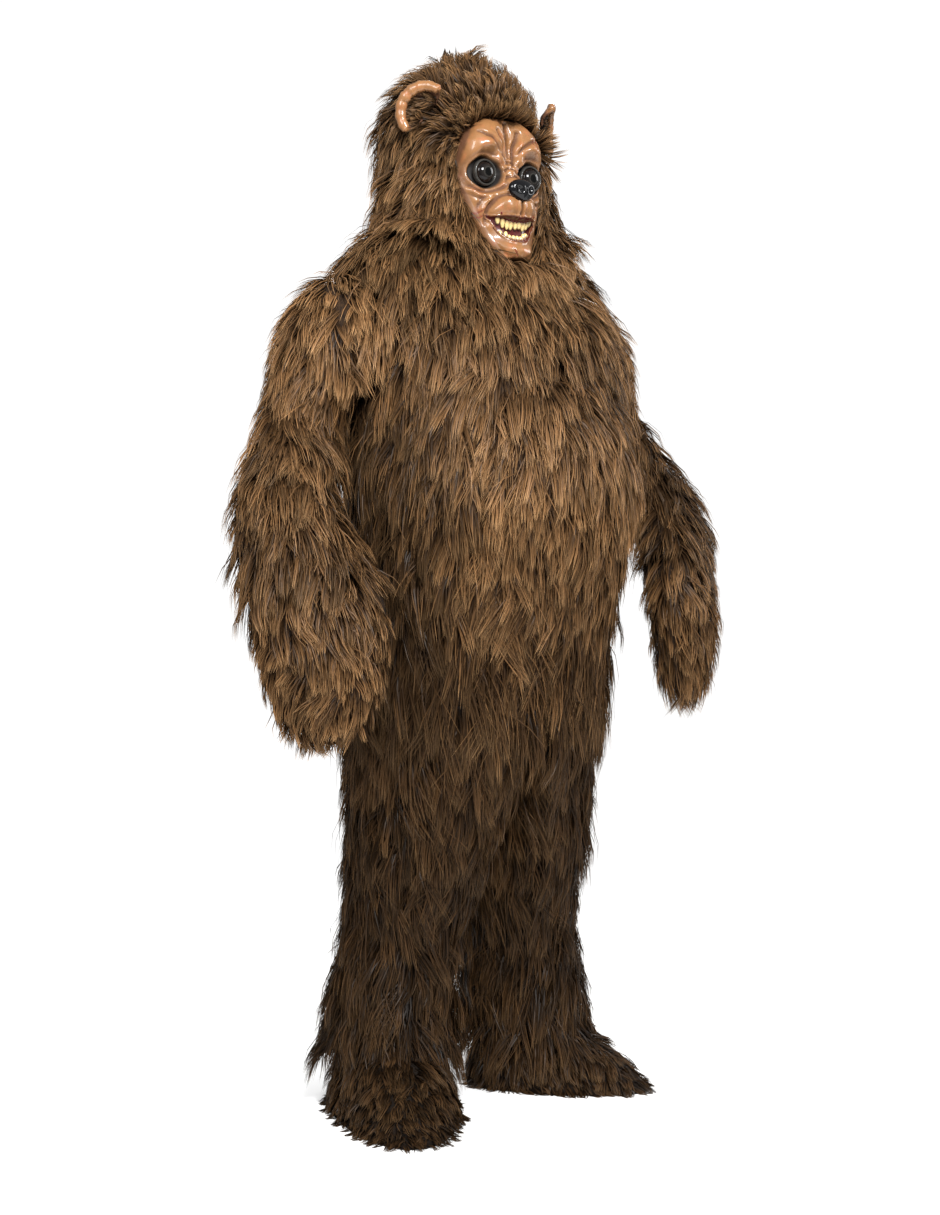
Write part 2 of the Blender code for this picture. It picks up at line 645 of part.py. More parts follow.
def foot_grids(longer):
    """The cover's top rows stand inside the leg's hem, and its bottom edge is on the floor."""
    forward = np.array([-math.sin(FOOT_SPLAY), -math.cos(FOOT_SPLAY)])
    sideways = np.array([math.cos(FOOT_SPLAY), -math.sin(FOOT_SPLAY)])
    outer, inner = [], []
    for height in (FOOT_SEAT_TOP, LEG[-1][0]):
        outer.append(leg_ring(height, LEG_WALL + SEAM))
        inner.append(leg_ring(height, LEG_WALL + FOOT_WALL))
    angles = np.linspace(0, 2 * math.pi, LEG_COLUMNS, endpoint=False)
    raised = locks(len(FOOT), LEG_COLUMNS)
    for i, (height, toe, heel, half_width) in enumerate(FOOT):
        toe += longer * i / (len(FOOT) - 1)
        for grid, wall, rise in ((outer, 0.0, LOCK_RELIEF * raised[i]), (inner, FOOT_WALL, 0.0)):
            turned = angles + FOOT_SPLAY
            reach = np.where(np.cos(turned) > 0, toe, heel) - wall + rise
            ahead = reach * np.cos(turned)
            across = (half_width - wall + rise) * np.sin(turned)
            flat = np.array(ANKLE) + ahead[:, None] * forward + across[:, None] * sideways
            grid.append(np.column_stack([flat, np.full(LEG_COLUMNS, height)]))
    return np.array(outer)[::-1], np.array(inner)[::-1]


def make_arms():
    for side, lift in (("right", 0.0), ("left", LEFT_ARM_LIFT)):
        outer, inner = sleeve_grids(lift)
        sleeve = thick_shell("sleeve_" + side, outer, inner, fur(), closed=True)
        outer, inner = mitt_grids(lift)
        mitt = thick_shell("mitt_" + side, outer, inner, fur(), closed=True, capped=True)
        if side == "left":
            mirror(sleeve)
            mirror(mitt)


def make_legs():
    outer, inner = leg_grids()
    leg = thick_shell("leg_right", outer, inner, leg_fur(), closed=True)
    mirror_piece(leg, "leg_left")
    for side, longer in FEET:
        outer, inner = foot_grids(longer)
        cover = thick_shell("foot_cover_" + side, outer, inner, leg_fur(), closed=True)
        if side == "left":
            mirror(cover)


def face_half_angle(height):
    """Half of the face opening's angle at a height."""
    part = (2 * height - FACE_LOW - FACE_HIGH) / (FACE_HIGH - FACE_LOW)
    oval = np.clip(1 - np.abs(part) ** 2.3, 0, 1) ** (1 / 2.3)
    narrowing = 0.58 + 0.42 * np.clip((height - FACE_NARROW[0]) / (FACE_NARROW[1] - FACE_NARROW[0]), 0, 1)
    return FACE_HALF_ANGLE * oval * narrowing


def face_heights():
    turn = np.linspace(-0.5 * math.pi, 0.5 * math.pi, FACE_ROWS)
    share = 0.5 + 0.5 * (0.55 * np.sin(turn) + 0.45 * np.linspace(-1, 1, FACE_ROWS))
    return FACE_LOW + (FACE_HIGH - FACE_LOW) * share


def hood_surface(height, angle, wall=0.0):
    half_width, front, back, centre_y = at_heights(HOOD, height).T
    wall = np.minimum(wall, 0.7 * half_width)
    flat = ring((0.0, 0.0), half_width - wall, front - wall, back - wall, angle)
    return np.stack([flat[..., 0], flat[..., 1] + centre_y, height], axis=-1)


def hood_heights():
    above = [1.762, 1.790, 1.824, 1.848, 1.864]
    return np.concatenate([[HOOD[0][0]], face_heights(), above])


def hood_level(height, angle):
    """Real height of a hood row at an angle: the lower rows rise over the shoulders."""
    share = np.clip((HOOD[-4][0] - height) / (HOOD[-4][0] - HOOD[0][0]), 0, 1)
    return height + share * (SIDE_LIFT * np.sin(np.clip(angle, 0, math.pi / 2)) ** 2
                             - (SIDE_LIFT - BACK_LIFT) * np.clip(-np.cos(angle), 0, 1) ** 2)


def hood_angles(heights):
    opening = face_half_angle(heights)
    share = np.linspace(0, 1, HOOD_COLUMNS + 1)
    return opening[:, None] + (math.pi - opening)[:, None] * share[None, :]


def hood_grids():
    """Left half of the hood: outer and inner points, from the front edge round to the back seam."""
    heights = hood_heights()
    angles = hood_angles(heights)
    levels = np.repeat(heights[:, None], HOOD_COLUMNS + 1, axis=1)
    outer = hood_surface(levels, angles)
    inner = hood_surface(levels, angles, HOOD_WALL)
    for grid in (outer, inner):
        grid[..., 2] = hood_level(levels, angles)
    crown = np.clip((levels - CROWN_START) / (HOOD[-1][0] - CROWN_START), 0, 1)
    inner[..., 2] -= HOOD_WALL * crown
    spokes = outer - np.array([0.0, HEAD_AXIS_Y, 0.0])
    spokes[..., 2] = 0.5 * np.maximum(spokes[..., 2] - HEAD_MIDDLE, 0.0)
    spokes /= np.maximum(np.linalg.norm(spokes, axis=2, keepdims=True), 1e-9)
    raised = HOOD_LOCK_RELIEF * locks(len(heights), HOOD_COLUMNS + 1)
    raised[:, 0] = 0
    outer = outer + spokes * raised[..., None]
    outer[0, :, 2] -= HEM_POINT * (np.arange(HOOD_COLUMNS + 1) % 2)
    neck = torso_surface(np.minimum(inner[..., 2], TORSO[-1][0]), angles)
    axis = np.array([0.0, NECK_AXIS_Y])
    suit_reach = np.linalg.norm(neck[..., :2] - axis, axis=2)
    reach = np.linalg.norm(inner[..., :2] - axis, axis=2)
    wider = np.maximum(reach, (suit_reach + HOOD_CLEARANCE) * (inner[..., 2] < COLLAR_TOP)) / reach
    inner[..., :2] = axis + (inner[..., :2] - axis) * wider[..., None]
    for grid in (outer, inner):
        grid[..., 0] = np.maximum(grid[..., 0], SEAM / 2)
        grid[:, -1, 0] = SEAM / 2
    return outer, inner


def make_hood():
    outer, inner = hood_grids()
    half = thick_shell("hood_left", outer, inner, fur(), capped=True)
    mirror_piece(half, "hood_right")


def face_ahead(x, height):
    """How far the face stands forward at a place seen from the front, with its eye sockets."""
    sections = at_heights(FACE_SECTIONS, height).T
    ahead = np.zeros_like(height)
    for i in range(len(FACE_AT) - 1):
        part = (np.abs(x) - FACE_AT[i]) / (FACE_AT[i + 1] - FACE_AT[i])
        between = (part >= 0) & ((part < 1) | (i == len(FACE_AT) - 2))
        part = np.clip(part, 0, 1)
        ahead = np.where(between, sections[i] * (1 - part) + sections[i + 1] * part, ahead)
    away = np.hypot(np.abs(x) - EYE_X, height - EYE_HEIGHT)
    socket = np.clip((SOCKET_RIM - away) / (SOCKET_RIM - SOCKET_FLOOR), 0, 1)
    return ahead * (1 - socket) - SOCKET_DEPTH * socket


def mask_point(height, share):
    """Outside of the face at a height; share runs from -1 at the right edge to 1 at the left."""
    centre_y = at_heights(HOOD, height).T[-1]
    opening = face_half_angle(height)
    bearings = []
    for wall in (HOOD_WALL + MASK_GAP, 0.0):
        edge = hood_surface(height, opening, wall)
        bearings.append(np.arctan2(edge[..., 0], centre_y - edge[..., 1]))
        if wall:
            inside = np.hypot(edge[..., 0], centre_y - edge[..., 1])
    angle = share * np.where(np.abs(share) > 0.999, bearings[0], np.minimum(*bearings) - MASK_SHY)
    radius = inside
    for _ in range(12):
        wanted = (centre_y + face_ahead(radius * np.sin(angle), height)) / np.cos(angle)
        radius = 0.5 * radius + 0.5 * wanted
    full = (1 - np.abs(share) ** FACE_FULLNESS) ** 0.7
    radius = np.where(radius > inside, inside + (radius - inside) * full, radius)
    level = hood_level(height, np.abs(angle))
    return np.stack([radius * np.sin(angle), centre_y - radius * np.cos(angle), level], axis=-1)


def make_mask():
    heights = face_heights()[1:-1]
    share = np.linspace(-1, 1, FACE_COLUMNS + 1)
    levels, across = np.meshgrid(heights, share, indexing="ij")
    outer = mask_point(levels, across)
    inner = outer - normals_of(outer) * LATEX_WALL
    thick_shell("mask_face", outer, inner, latex())


def seat_on(thing, base, direction, gap=SEAM):
    """Move a piece along a direction until it is a gap away from the piece that carries it."""
    carrier = BVHTree.FromObject(base, bpy.context.evaluated_depsgraph_get())
    mover = BVHTree.FromObject(thing, bpy.context.evaluated_depsgraph_get())
    way = Vector(direction).normalized()
    reach = 0.2
    free = reach
    for tree, mesh, ray in ((carrier, thing.data, way), (mover, base.data, -way)):
        for vertex in mesh.vertices:
            hit = tree.ray_cast(vertex.co, ray, reach)
            if hit[0] is not None:
                free = min(free, hit[3])
    step = way * (free - gap)
    for vertex in thing.data.vertices:
        vertex.co += step


def dome(name, centre, half, finish):
    """A flattened ball whose back is cut off flat."""
    build = bmesh.new()
    bmesh.ops.create_uvsphere(build, u_segments=12, v_segments=7, radius=1.0)
    middle = Vector(centre) - Vector((0.0, 0.0, SHOULDER_HEIGHT))
    for vertex in build.verts:
        x, y, z = vertex.co
        vertex.co = middle + Vector((x * half[0], min(y, DOME_BACK) * half[1], z * half[2]))
    bmesh.ops.remove_doubles(build, verts=build.verts[:], dist=0.00005)
    bmesh.ops.recalc_face_normals(build, faces=build.faces[:])
    return add_object(name, build, finish)


def make_eyes(mask):
    half = (LENS_RADIUS, LENS_DEPTH, LENS_RADIUS)
    lens = dome("eye_lens_left", (EYE_X, START_AHEAD, EYE_HEIGHT), half, gloss_black())
    seat_on(lens, mask, (0, 1, 0), FACE_SEAT)
    mirror_piece(lens, "eye_lens_right")


def make_nose(mask):
    nose = dome("nose", (0.0, START_AHEAD, NOSE_HEIGHT), NOSE_HALF, gloss_black())
    seat_on(nose, mask, (0, 1, 0))


def make_tooth_row(name, mask, gum_height, tip_height):
    """A gum strip bent round the muzzle, with a row of teeth of uneven length along one edge."""
    columns = 2 * TOOTH_COUNT + 1
    share = np.linspace(-1, 1, columns)
    x = MOUTH_HALF_WIDTH * share
    bend = START_AHEAD + 0.010 * share**2
    crown = np.abs(np.sin(np.linspace(0, TOOTH_COUNT * math.pi, columns)))
    uneven = 0.75 + 0.25 * np.cos(2.6 * (np.arange(columns) // 2))
    middle = gum_height + 0.35 * (tip_height - gum_height)
    tips = middle + (tip_height - middle) * crown * uneven
    rows = [np.full(columns, gum_height), np.full(columns, middle), tips]
    proud = [0.0, 0.0012 + 0.0016 * crown, 0.0006 + 0.0010 * crown]
    smile = MOUTH_SMILE * share**2
    front = np.stack([np.stack([x, bend - out, level + smile], -1) for out, level in zip(proud, rows)])
    back = front.copy()
    back[..., 1] = (bend + TOOTH_THICKNESS)[None, :]
    order = slice(None) if tip_height > gum_height else slice(None, None, -1)
    teeth = thick_shell(name, front[order], back[order], ivory())
    seat_on(teeth, mask, (0, 1, 0), FACE_SEAT)


def make_ears():
    """An ear is a half bowl on the side of the hood, with a rolled rim."""
    turn = np.linspace(math.radians(6), math.radians(174), EAR_COLUMNS)
    profile = [
        # share of the radius, depth of the front, depth of the back
        (0.30, 0.016, 0.021),
        (0.72, 0.014, 0.019),
        (0.90, -0.003, 0.010),
        (1.02, -0.005, 0.007),
        (1.08, 0.000, 0.003),
    ]
    out = Vector(EAR_OUT).normalized()
    ahead = Vector(EAR_FACES)
    ahead = (ahead - out * ahead.dot(out)).normalized()
    across = out.cross(ahead)
    foot = np.array(EAR_FOOT) + EAR_HEIGHT * np.array(EAR_SEAT)
    front, behind = [], []
    for share, near, far in profile:
        arc = share * (
            EAR_HEIGHT * np.sin(turn)[:, None] * np.array(out)
            + EAR_HALF_WIDTH * np.cos(turn)[:, None] * np.array(across)
        )
        front.append(foot + arc - near * np.array(ahead))
        behind.append(foot + arc - far * np.array(ahead))
    ear = thick_shell("ear_left", np.array(front), np.array(behind), latex())
    seat_on(ear, bpy.data.objects["hood_left"], -Vector(EAR_SEAT), EAR_GAP)
    mirror_piece(ear, "ear_right")


def make_face():
    make_mask()
    mask = bpy.data.objects["mask_face"]
    make_eyes(mask)
    make_nose(mask)
    for name, gum_height, tip_height in TEETH:
        make_tooth_row(name, mask, gum_height, tip_height)


def main():
    clear_scene()
    make_suit_panels()
    make_back_zip()
    make_arms()
    make_legs()
    make_hood()
    make_face()
    make_ears()


main()
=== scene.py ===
"""The looks of a bear costume: long brown fur on thin backings, and a moulded bear face with its trim.

Sizes are in metres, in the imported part's own frame: +Z is up, the costume faces -Y, and Z is 0 where
the wearer's shoulders carry it. Heights in the tables are measured up from the soles.
"""

import math

import bmesh
import bpy
import numpy as np
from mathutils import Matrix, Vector
from mathutils.bvhtree import BVHTree
from mathutils.kdtree import KDTree


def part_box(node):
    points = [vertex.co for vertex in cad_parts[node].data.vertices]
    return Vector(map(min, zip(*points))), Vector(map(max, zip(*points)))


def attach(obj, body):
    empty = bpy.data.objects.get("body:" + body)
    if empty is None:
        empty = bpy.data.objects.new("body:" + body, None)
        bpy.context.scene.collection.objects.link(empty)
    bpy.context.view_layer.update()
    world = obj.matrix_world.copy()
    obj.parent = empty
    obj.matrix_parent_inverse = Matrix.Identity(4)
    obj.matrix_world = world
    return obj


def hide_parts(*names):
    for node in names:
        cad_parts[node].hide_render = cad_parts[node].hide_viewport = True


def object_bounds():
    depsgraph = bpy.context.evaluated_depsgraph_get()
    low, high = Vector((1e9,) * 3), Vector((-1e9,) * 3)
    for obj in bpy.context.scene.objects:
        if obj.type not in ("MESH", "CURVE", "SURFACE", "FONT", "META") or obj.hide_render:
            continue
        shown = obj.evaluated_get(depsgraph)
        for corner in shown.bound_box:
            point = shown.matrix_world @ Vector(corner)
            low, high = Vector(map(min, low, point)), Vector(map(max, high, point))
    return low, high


bl_info = {
    "name": "Bear costume",
    "version": (1, 0, 0),
    "blender": (4, 5, 0),
    "location": "3D View > Sidebar > Costume",
    "description": "Dresses the packed costume in long fur and gives it a moulded bear face",
    "category": "Object",
}

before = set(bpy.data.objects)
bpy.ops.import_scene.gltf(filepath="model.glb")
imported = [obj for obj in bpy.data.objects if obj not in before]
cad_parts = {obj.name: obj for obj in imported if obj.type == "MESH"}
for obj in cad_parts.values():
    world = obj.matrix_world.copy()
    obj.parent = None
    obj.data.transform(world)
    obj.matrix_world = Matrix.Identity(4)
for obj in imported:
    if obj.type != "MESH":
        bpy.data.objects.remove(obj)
CAD_BOX = [list(corner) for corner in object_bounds()]
FLOOR = CAD_BOX[0][2]
SOLE = FLOOR + 0.0005  # the lowest that backing and strands reach
SHOULDER_HEIGHT = 1.450
BODY = "root"

FUR_PIECES = [
    # node, slot, strand length, lift in degrees, share of the full density, cut width, cut length, held
    ("suit_front", "fur", 0.084, 18, 1.00, 0.88, 0.86, "hung"),
    ("suit_back_left", "fur", 0.080, 19, 0.92, 0.32, 0.88, "hung"),
    ("suit_back_right", "fur", 0.080, 19, 0.92, 0.32, 0.88, "hung"),
    ("sleeve_left", "fur", 0.076, 23, 0.95, 0.50, 0.50, "gathered"),
    ("sleeve_right", "fur", 0.076, 23, 1.10, 0.50, 0.54, "gathered"),
    ("mitt_left", "fur", 0.068, 24, 1.00, 0.44, 0.30, "hung"),
    ("mitt_right", "fur", 0.056, 24, 1.15, 0.44, 0.30, "hung"),
    ("leg_left", "leg_fur", 0.074, 22, 0.90, 0.72, 0.68, "hung"),
    ("leg_right", "leg_fur", 0.074, 22, 1.05, 0.72, 0.68, "hung"),
    ("foot_cover_left", "leg_fur", 0.052, 24, 1.00, 0.55, 0.24, "hung"),
    ("foot_cover_right", "leg_fur", 0.052, 24, 1.10, 0.55, 0.28, "hung"),
    ("hood_left", "fur", 0.066, 34, 1.15, 0.30, 0.46, "hung"),
    ("hood_right", "fur", 0.066, 34, 1.25, 0.30, 0.46, "hung"),
]
MOST_STRANDS = 39000  # five triangles each keep a piece under 200,000
RIM_STRANDS = 2200  # on each half of the hood's edge round the face
PROUD = np.array((0.030, 0.018, 0.045))  # how far loose tips may stand out of the solids' box
HEM = 0.86  # height from which the suit's fur hangs as a hem over the legs
HEM_FADE = 0.08
JAW_BACK = 0.040  # how far the hood's edge is drawn back and aside round the jaw
JAW_ASIDE = 0.012
JAW_HEIGHT = 1.605  # where that starts
BACKING = 0.0045  # thickness of the knitted backing under the fur
PROBE = 0.003  # how far under its outside a wall is felt for its depth
PROBE_REACH = 0.060
DEPTH_UNFELT = 0.018  # depth taken where nothing is felt
DEEPEST_PILE = 0.034
SKIN = 0.004  # how far over its outside a wall is felt for other fur pieces
CLOSE_REACH = 0.014  # under a piece as close as this no strands grow
CORNER = math.radians(48)  # a sharper edge than this parts the outside of a wall from its cut edge

EYE = (0.050, 1.621)  # x and height of the middle of a lens
SOCKET = (0.0265, 0.0300)  # radii of an eye socket's dark floor and of its rim
MOUTH_TOP = 1.5400  # heights of the open mouth in the middle, and half its width
MOUTH_LOW = 1.5035
MOUTH_HALF = 0.0475

FACE_FORMS = [
    # x, height, half_x, half_height, tilt in degrees, rise
    (0.050, 1.664, 0.030, 0.015, -22, 0.0085),
    (0.026, 1.644, 0.011, 0.010, 0, 0.0050),
    (0.082, 1.655, 0.014, 0.018, 10, 0.0030),
    (0.042, 1.700, 0.022, 0.014, -10, 0.0030),
    (0.000, 1.690, 0.012, 0.020, 0, -0.0050),
    (0.000, 1.662, 0.007, 0.016, 0, -0.0040),
    (0.078, 1.590, 0.018, 0.011, 25, 0.0050),
    (0.055, 1.572, 0.010, 0.018, 15, -0.0030),
    (0.024, 1.560, 0.020, 0.015, 0, 0.0085),
    (0.000, 1.628, 0.010, 0.016, 0, 0.0040),
    (0.000, 1.598, 0.021, 0.015, 0, 0.0125),
    (0.000, 1.486, 0.036, 0.014, 0, 0.0060),
]
FACE_FURROWS = [
    # start, bend and end of each line as x and height, half_width, depth
    (0.0050, 1.634, 0.0075, 1.660, 0.0210, 1.698, 0.0038, 0.0080),
    (0.0000, 1.652, 0.0005, 1.680, 0.0010, 1.712, 0.0030, 0.0040),
    (0.0160, 1.655, 0.0300, 1.680, 0.0640, 1.690, 0.0036, 0.0048),
    (0.0180, 1.600, 0.0470, 1.576, 0.0850, 1.602, 0.0040, 0.0056),
    (0.0260, 1.592, 0.0520, 1.562, 0.0860, 1.586, 0.0028, 0.0028),
    (0.0230, 1.582, 0.0500, 1.578, 0.0540, 1.532, 0.0042, 0.0088),
    (0.0590, 1.572, 0.0720, 1.548, 0.0640, 1.500, 0.0034, 0.0040),
    (0.0000, 1.576, 0.0000, 1.560, 0.0000, 1.543, 0.0022, 0.0050),
    (0.0000, 1.616, 0.0100, 1.620, 0.0210, 1.606, 0.0022, 0.0034),
    (0.0000, 1.630, 0.0080, 1.633, 0.0170, 1.622, 0.0020, 0.0034),
    (0.0000, 1.642, 0.0060, 1.645, 0.0110, 1.637, 0.0018, 0.0026),
    (0.0480, 1.500, 0.0340, 1.478, 0.0120, 1.474, 0.0030, 0.0024),
]
FACE_SCRATCHES = [
    # start, bend and end as x and height, half_width, depth; generic claw marks
    (0.0780, 1.690, 0.0700, 1.683, 0.0640, 1.668, 0.0013, 0.0016),
    (0.0700, 1.697, 0.0615, 1.688, 0.0550, 1.671, 0.0016, 0.0020),
    (0.0610, 1.701, 0.0535, 1.693, 0.0480, 1.679, 0.0012, 0.0015),
    (-0.0560, 1.556, -0.0640, 1.548, -0.0700, 1.546, 0.0013, 0.0014),
    (-0.0550, 1.547, -0.0620, 1.539, -0.0700, 1.536, 0.0012, 0.0014),
    (-0.0180, 1.490, -0.0120, 1.482, -0.0090, 1.474, 0.0012, 0.0012),
]
FACE_ROWS = 140  # grid that the face is sculpted on
FACE_COLUMNS = 124
FACE_EDGE = 0.0012  # how far inside the mask's top and foot the rows start
LATEX_MAPS = ("furrow", "mouth", "scratch", "socket")

TEETH = [
    # node, count, height at the gum, height at the tips, half of the row's width
    ("teeth_upper", 9, 1.5385, 1.5195, 0.0390),
    ("teeth_lower", 8, 1.5050, 1.5150, 0.0315),
]
TEETH_SMILE = 0.011  # how far a row's ends stand above its middle
TOOTH_SIDES = 12
TOOTH_DEPTH = 0.0040
TOOTH_RINGS = (
    # share of the tooth's length from its gum, share of its width
    (-0.12, 0.90),
    (0.15, 1.02),
    (0.44, 1.02),
    (0.70, 0.88),
    (0.87, 0.62),
    (0.96, 0.34),
)
GUM_STEPS = 61
EYE_SIDES = 48
LENS_SHARE = 0.95  # a lens's radius beside its node's, inside the rim
NOSE_WIDER = 1.16  # the nose pad beside its node, to close on the face
NOSE_TALLER = 1.12

EAR_OUT = (0.36, 0.58, 0.62)  # from the middle of an ear's foot to the middle of its rim
EAR_FACES = (0.86, -0.50, 0.08)  # the way its hollow faces
EAR_HEIGHT = 0.048  # reach of its rim up from its foot and to either side
EAR_HALF_WIDTH = 0.046
EAR_ROLL = 0.0092  # thickest radius of the rolled rim
ROLL_STEPS = 40  # rings along the rim, and points in each
ROLL_SIDES = 16
EAR_HAIRS = 700
EAR_HAIR_LENGTH = 0.022
EAR_HAIR_LIFT = 24
EAR_SHIFT = (-0.011, 0.000, -0.010)  # down through the pile to the hood's thin backing

LAMPS = [
    # name, x, y, z, size, power
    ("key", -1.1, -2.7, 1.7, 0.9, 240.0),
    ("fill", -2.9, -0.9, 1.6, 1.2, 75.0),
    ("rim", 2.3, 2.3, 2.0, 1.2, 120.0),
    ("side", 3.2, -1.0, 1.2, 1.6, 55.0),
]
LAMP_TARGET = (0, 0, -0.3)
FLOOR_CORNERS = 96
WHITE = (1.0, 1.0, 1.0, 1.0)
SEEN_WHITE = 1.06  # strength of the backdrop where it is looked at

ZIP_PITCH = 0.0052
ZIP_TOOTH = (0.0026, 0.0009, 0.0016)  # half sizes of one tooth


class ShaderValue:
    """One output of a shader node, which adds Math nodes when it stands in an expression."""

    def __init__(self, finish, socket):
        self.finish = finish
        self.socket = socket

    def math(self, operation, first, second):
        return self.finish.node("ShaderNodeMath", {"operation": operation}, {0: first, 1: second})

    def __add__(self, other):
        return self.math("ADD", self, other)

    def __radd__(self, other):
        return self.math("ADD", other, self)

    def __sub__(self, other):
        return self.math("SUBTRACT", self, other)

    def __rsub__(self, other):
        return self.math("SUBTRACT", other, self)

    def __mul__(self, other):
        return self.math("MULTIPLY", self, other)

    def __rmul__(self, other):
        return self.math("MULTIPLY", other, self)

    def clamped(self):
        return self.finish.node("ShaderNodeClamp", {}, {"Value": self})


class Finish:
    """A material in the making: its nodes, and the surface shader that they feed."""

    def __init__(self, name, **constants):
        self.material = bpy.data.materials.new(name)
        self.material.use_nodes = True
        self.tree = self.material.node_tree
        self.shader = self.tree.nodes["Principled BSDF"]
        for socket, value in constants.items():
            self.shader.inputs[socket.replace("_", " ")].default_value = value

    def node(self, kind, settings, inputs, output=0):
        """Adds a node, sets it up, fills its sockets with values or links, and gives one output."""
        made = self.tree.nodes.new(kind)
        for key, value in settings.items():
            if key == "stops":
                for place, colour in value[1:-1]:
                    made.color_ramp.elements.new(place)
                for stop, (place, colour) in zip(made.color_ramp.elements, value):
                    stop.position = place
                    stop.color = (*colour, 1.0)
            else:
                setattr(made, key, value)
        for key, value in inputs.items():
            socket = made.inputs[key]
            if isinstance(value, ShaderValue):
                self.tree.links.new(value.socket, socket)
            else:
                socket.default_value = value
        return ShaderValue(self, made.outputs[output])

    def place(self):
        return self.node("ShaderNodeTexCoord", {}, {}, "Object")

    def attribute(self, name):
        return self.node("ShaderNodeAttribute", {"attribute_name": name}, {}, "Fac")

    def noise(self, scale, detail=4.0, roughness=0.55, stretch=(1.0, 1.0, 1.0)):
        inputs = {0: self.place(), 1: stretch}
        spot = self.node("ShaderNodeVectorMath", {"operation": "MULTIPLY"}, inputs)
        inputs = {"Vector": spot, "Scale": scale, "Detail": detail, "Roughness": roughness}
        return self.node("ShaderNodeTexNoise", {}, inputs, "Fac")

    def ramp(self, value, *stops):
        return self.node("ShaderNodeValToRGB", {"stops": stops}, {"Fac": value})

    def level(self, value, low, high):
        """The value spread so that low becomes 0 and high becomes 1, cut off outside."""
        inputs = {"Value": value, "From Min": low, "From Max": high}
        return self.node("ShaderNodeMapRange", {"clamp": True}, inputs)

    def blend(self, share, first, second):
        first = first if isinstance(first, ShaderValue) else (*first, 1.0)
        second = second if isinstance(second, ShaderValue) else (*second, 1.0)
        return self.node("ShaderNodeMix", {"data_type": "RGBA"}, {0: share, 6: first, 7: second}, 2)

    def bump(self, height, strength, distance):
        inputs = {"Height": height, "Strength": strength, "Distance": distance}
        return self.node("ShaderNodeBump", {}, inputs)

    def feed(self, **sockets):
        for name, value in sockets.items():
            self.tree.links.new(value.socket, self.shader.inputs[name.replace("_", " ")])
        return self.material


def scaled(colour, share):
    return tuple(share * part for part in colour)


def shared(name, make, *values):
    """A material that several pieces wear, made by the first of them."""
    return bpy.data.materials.get(name) or make(name, *values)


def fur_finish(name, look, darkness):
    """Strand colour from the strand's own map: tone across, and root to tip along. The dark roots and
    lower stretch are partly the fur's own colour and partly painted shade deep in the pile; the light
    tips are partly the fur's own colour and partly a painted sheen.
    """
    finish = Finish(name, Roughness=0.42, Specular_IOR_Level=0.08)
    spot = finish.node("ShaderNodeUVMap", {"uv_map": "OFBake"}, {})
    tone = finish.node("ShaderNodeSeparateXYZ", {}, {0: spot}, 0)
    along = finish.node("ShaderNodeSeparateXYZ", {}, {0: spot}, 1)
    # darkness is 1 on the body and the legs' painted shade on the legs
    root, middle, tip = (scaled(tuple(c), darkness) for c in (look.root, look.middle, look.tip))
    # The dark ramp gives the darker locks and the painted shade that tone carries; the light ramp's
    # stop at 0.34 is painted shade low on each strand.
    dark_stops = (0.0, scaled(root, 0.30)), (0.45, scaled(middle, 0.10)), (1.0, scaled(tip, 0.11))
    light_stops = (0.0, root), (0.34, scaled(middle, 0.38)), (0.72, middle), (1.0, tip)
    dark = finish.ramp(along, *dark_stops)
    light = finish.ramp(along, *light_stops)
    return finish.feed(Base_Color=finish.blend(tone, dark, light))


def backing_finish(name, look, darkness):
    """Close dark underfur with streaks, as it shows between the locks and on the inside."""
    finish = Finish(name, Roughness=0.92, Specular_IOR_Level=0.2)
    streaks = finish.noise(420.0, stretch=(1.0, 1.0, 0.12))
    patches = finish.noise(14.0)
    # darkness darkens the legs' underfur as painted shade
    root = scaled(tuple(look.root), darkness)
    middle = scaled(tuple(look.middle), 0.16 * darkness)
    colour = finish.blend(finish.level(streaks, 0.35, 0.65), scaled(root, 0.35), middle)
    colour = finish.blend(finish.level(patches, 0.4, 0.7) * 0.4, colour, scaled(root, 0.3))
    return finish.feed(Base_Color=colour, Normal=finish.bump(streaks, 0.6, 0.002))


def latex_finish(look):
    """Painted glossy latex: tan, red in the mouth and the scratches. Its furrows are darkened partly by
    the mask's own brown paint and partly as painted shade, the ears' hollows as painted shade.
    """
    finish = Finish("painted_latex", Specular_IOR_Level=0.30, Coat_Roughness=0.10)
    furrow, mouth, scratch, socket = (finish.attribute(name) for name in LATEX_MAPS)
    cloud = finish.noise(26.0, 5.0)
    freckle = finish.noise(240.0, 3.0)
    latex, shade = tuple(look.latex), tuple(look.shade)
    colour = finish.blend(finish.level(cloud, 0.30, 0.72), scaled(latex, 0.72), latex)
    flush = finish.level(finish.noise(60.0), 0.52, 0.74) * 0.45
    colour = finish.blend(flush, colour, (0.40, 0.12, 0.05))
    colour = finish.blend(finish.level(freckle, 0.60, 0.72) * 0.35, colour, shade)
    # painted shade in the furrows and the ears' hollows, with the mask's own brown paint in the
    # furrows; the ears' rolled rims get worn patches through the same map
    colour = finish.blend((furrow * 0.90).clamped(), colour, shade)
    colour = finish.blend((mouth * 1.1).clamped(), colour, (0.060, 0.006, 0.005))
    colour = finish.blend(scratch, colour, (0.110, 0.006, 0.005))
    colour = finish.blend(socket, colour, (0.007, 0.005, 0.004))
    grain = finish.noise(520.0, 2.0) * 0.4 + cloud
    dull = (furrow + socket).clamped()
    rough = finish.level(finish.noise(90.0), 0.2, 0.8) * 0.16 + 0.24 + dull * 0.40
    coat = (1 - dull) * 0.38
    normal = finish.bump(grain, 0.22, 0.0012)
    return finish.feed(Base_Color=colour, Roughness=rough, Coat_Weight=coat, Normal=normal)


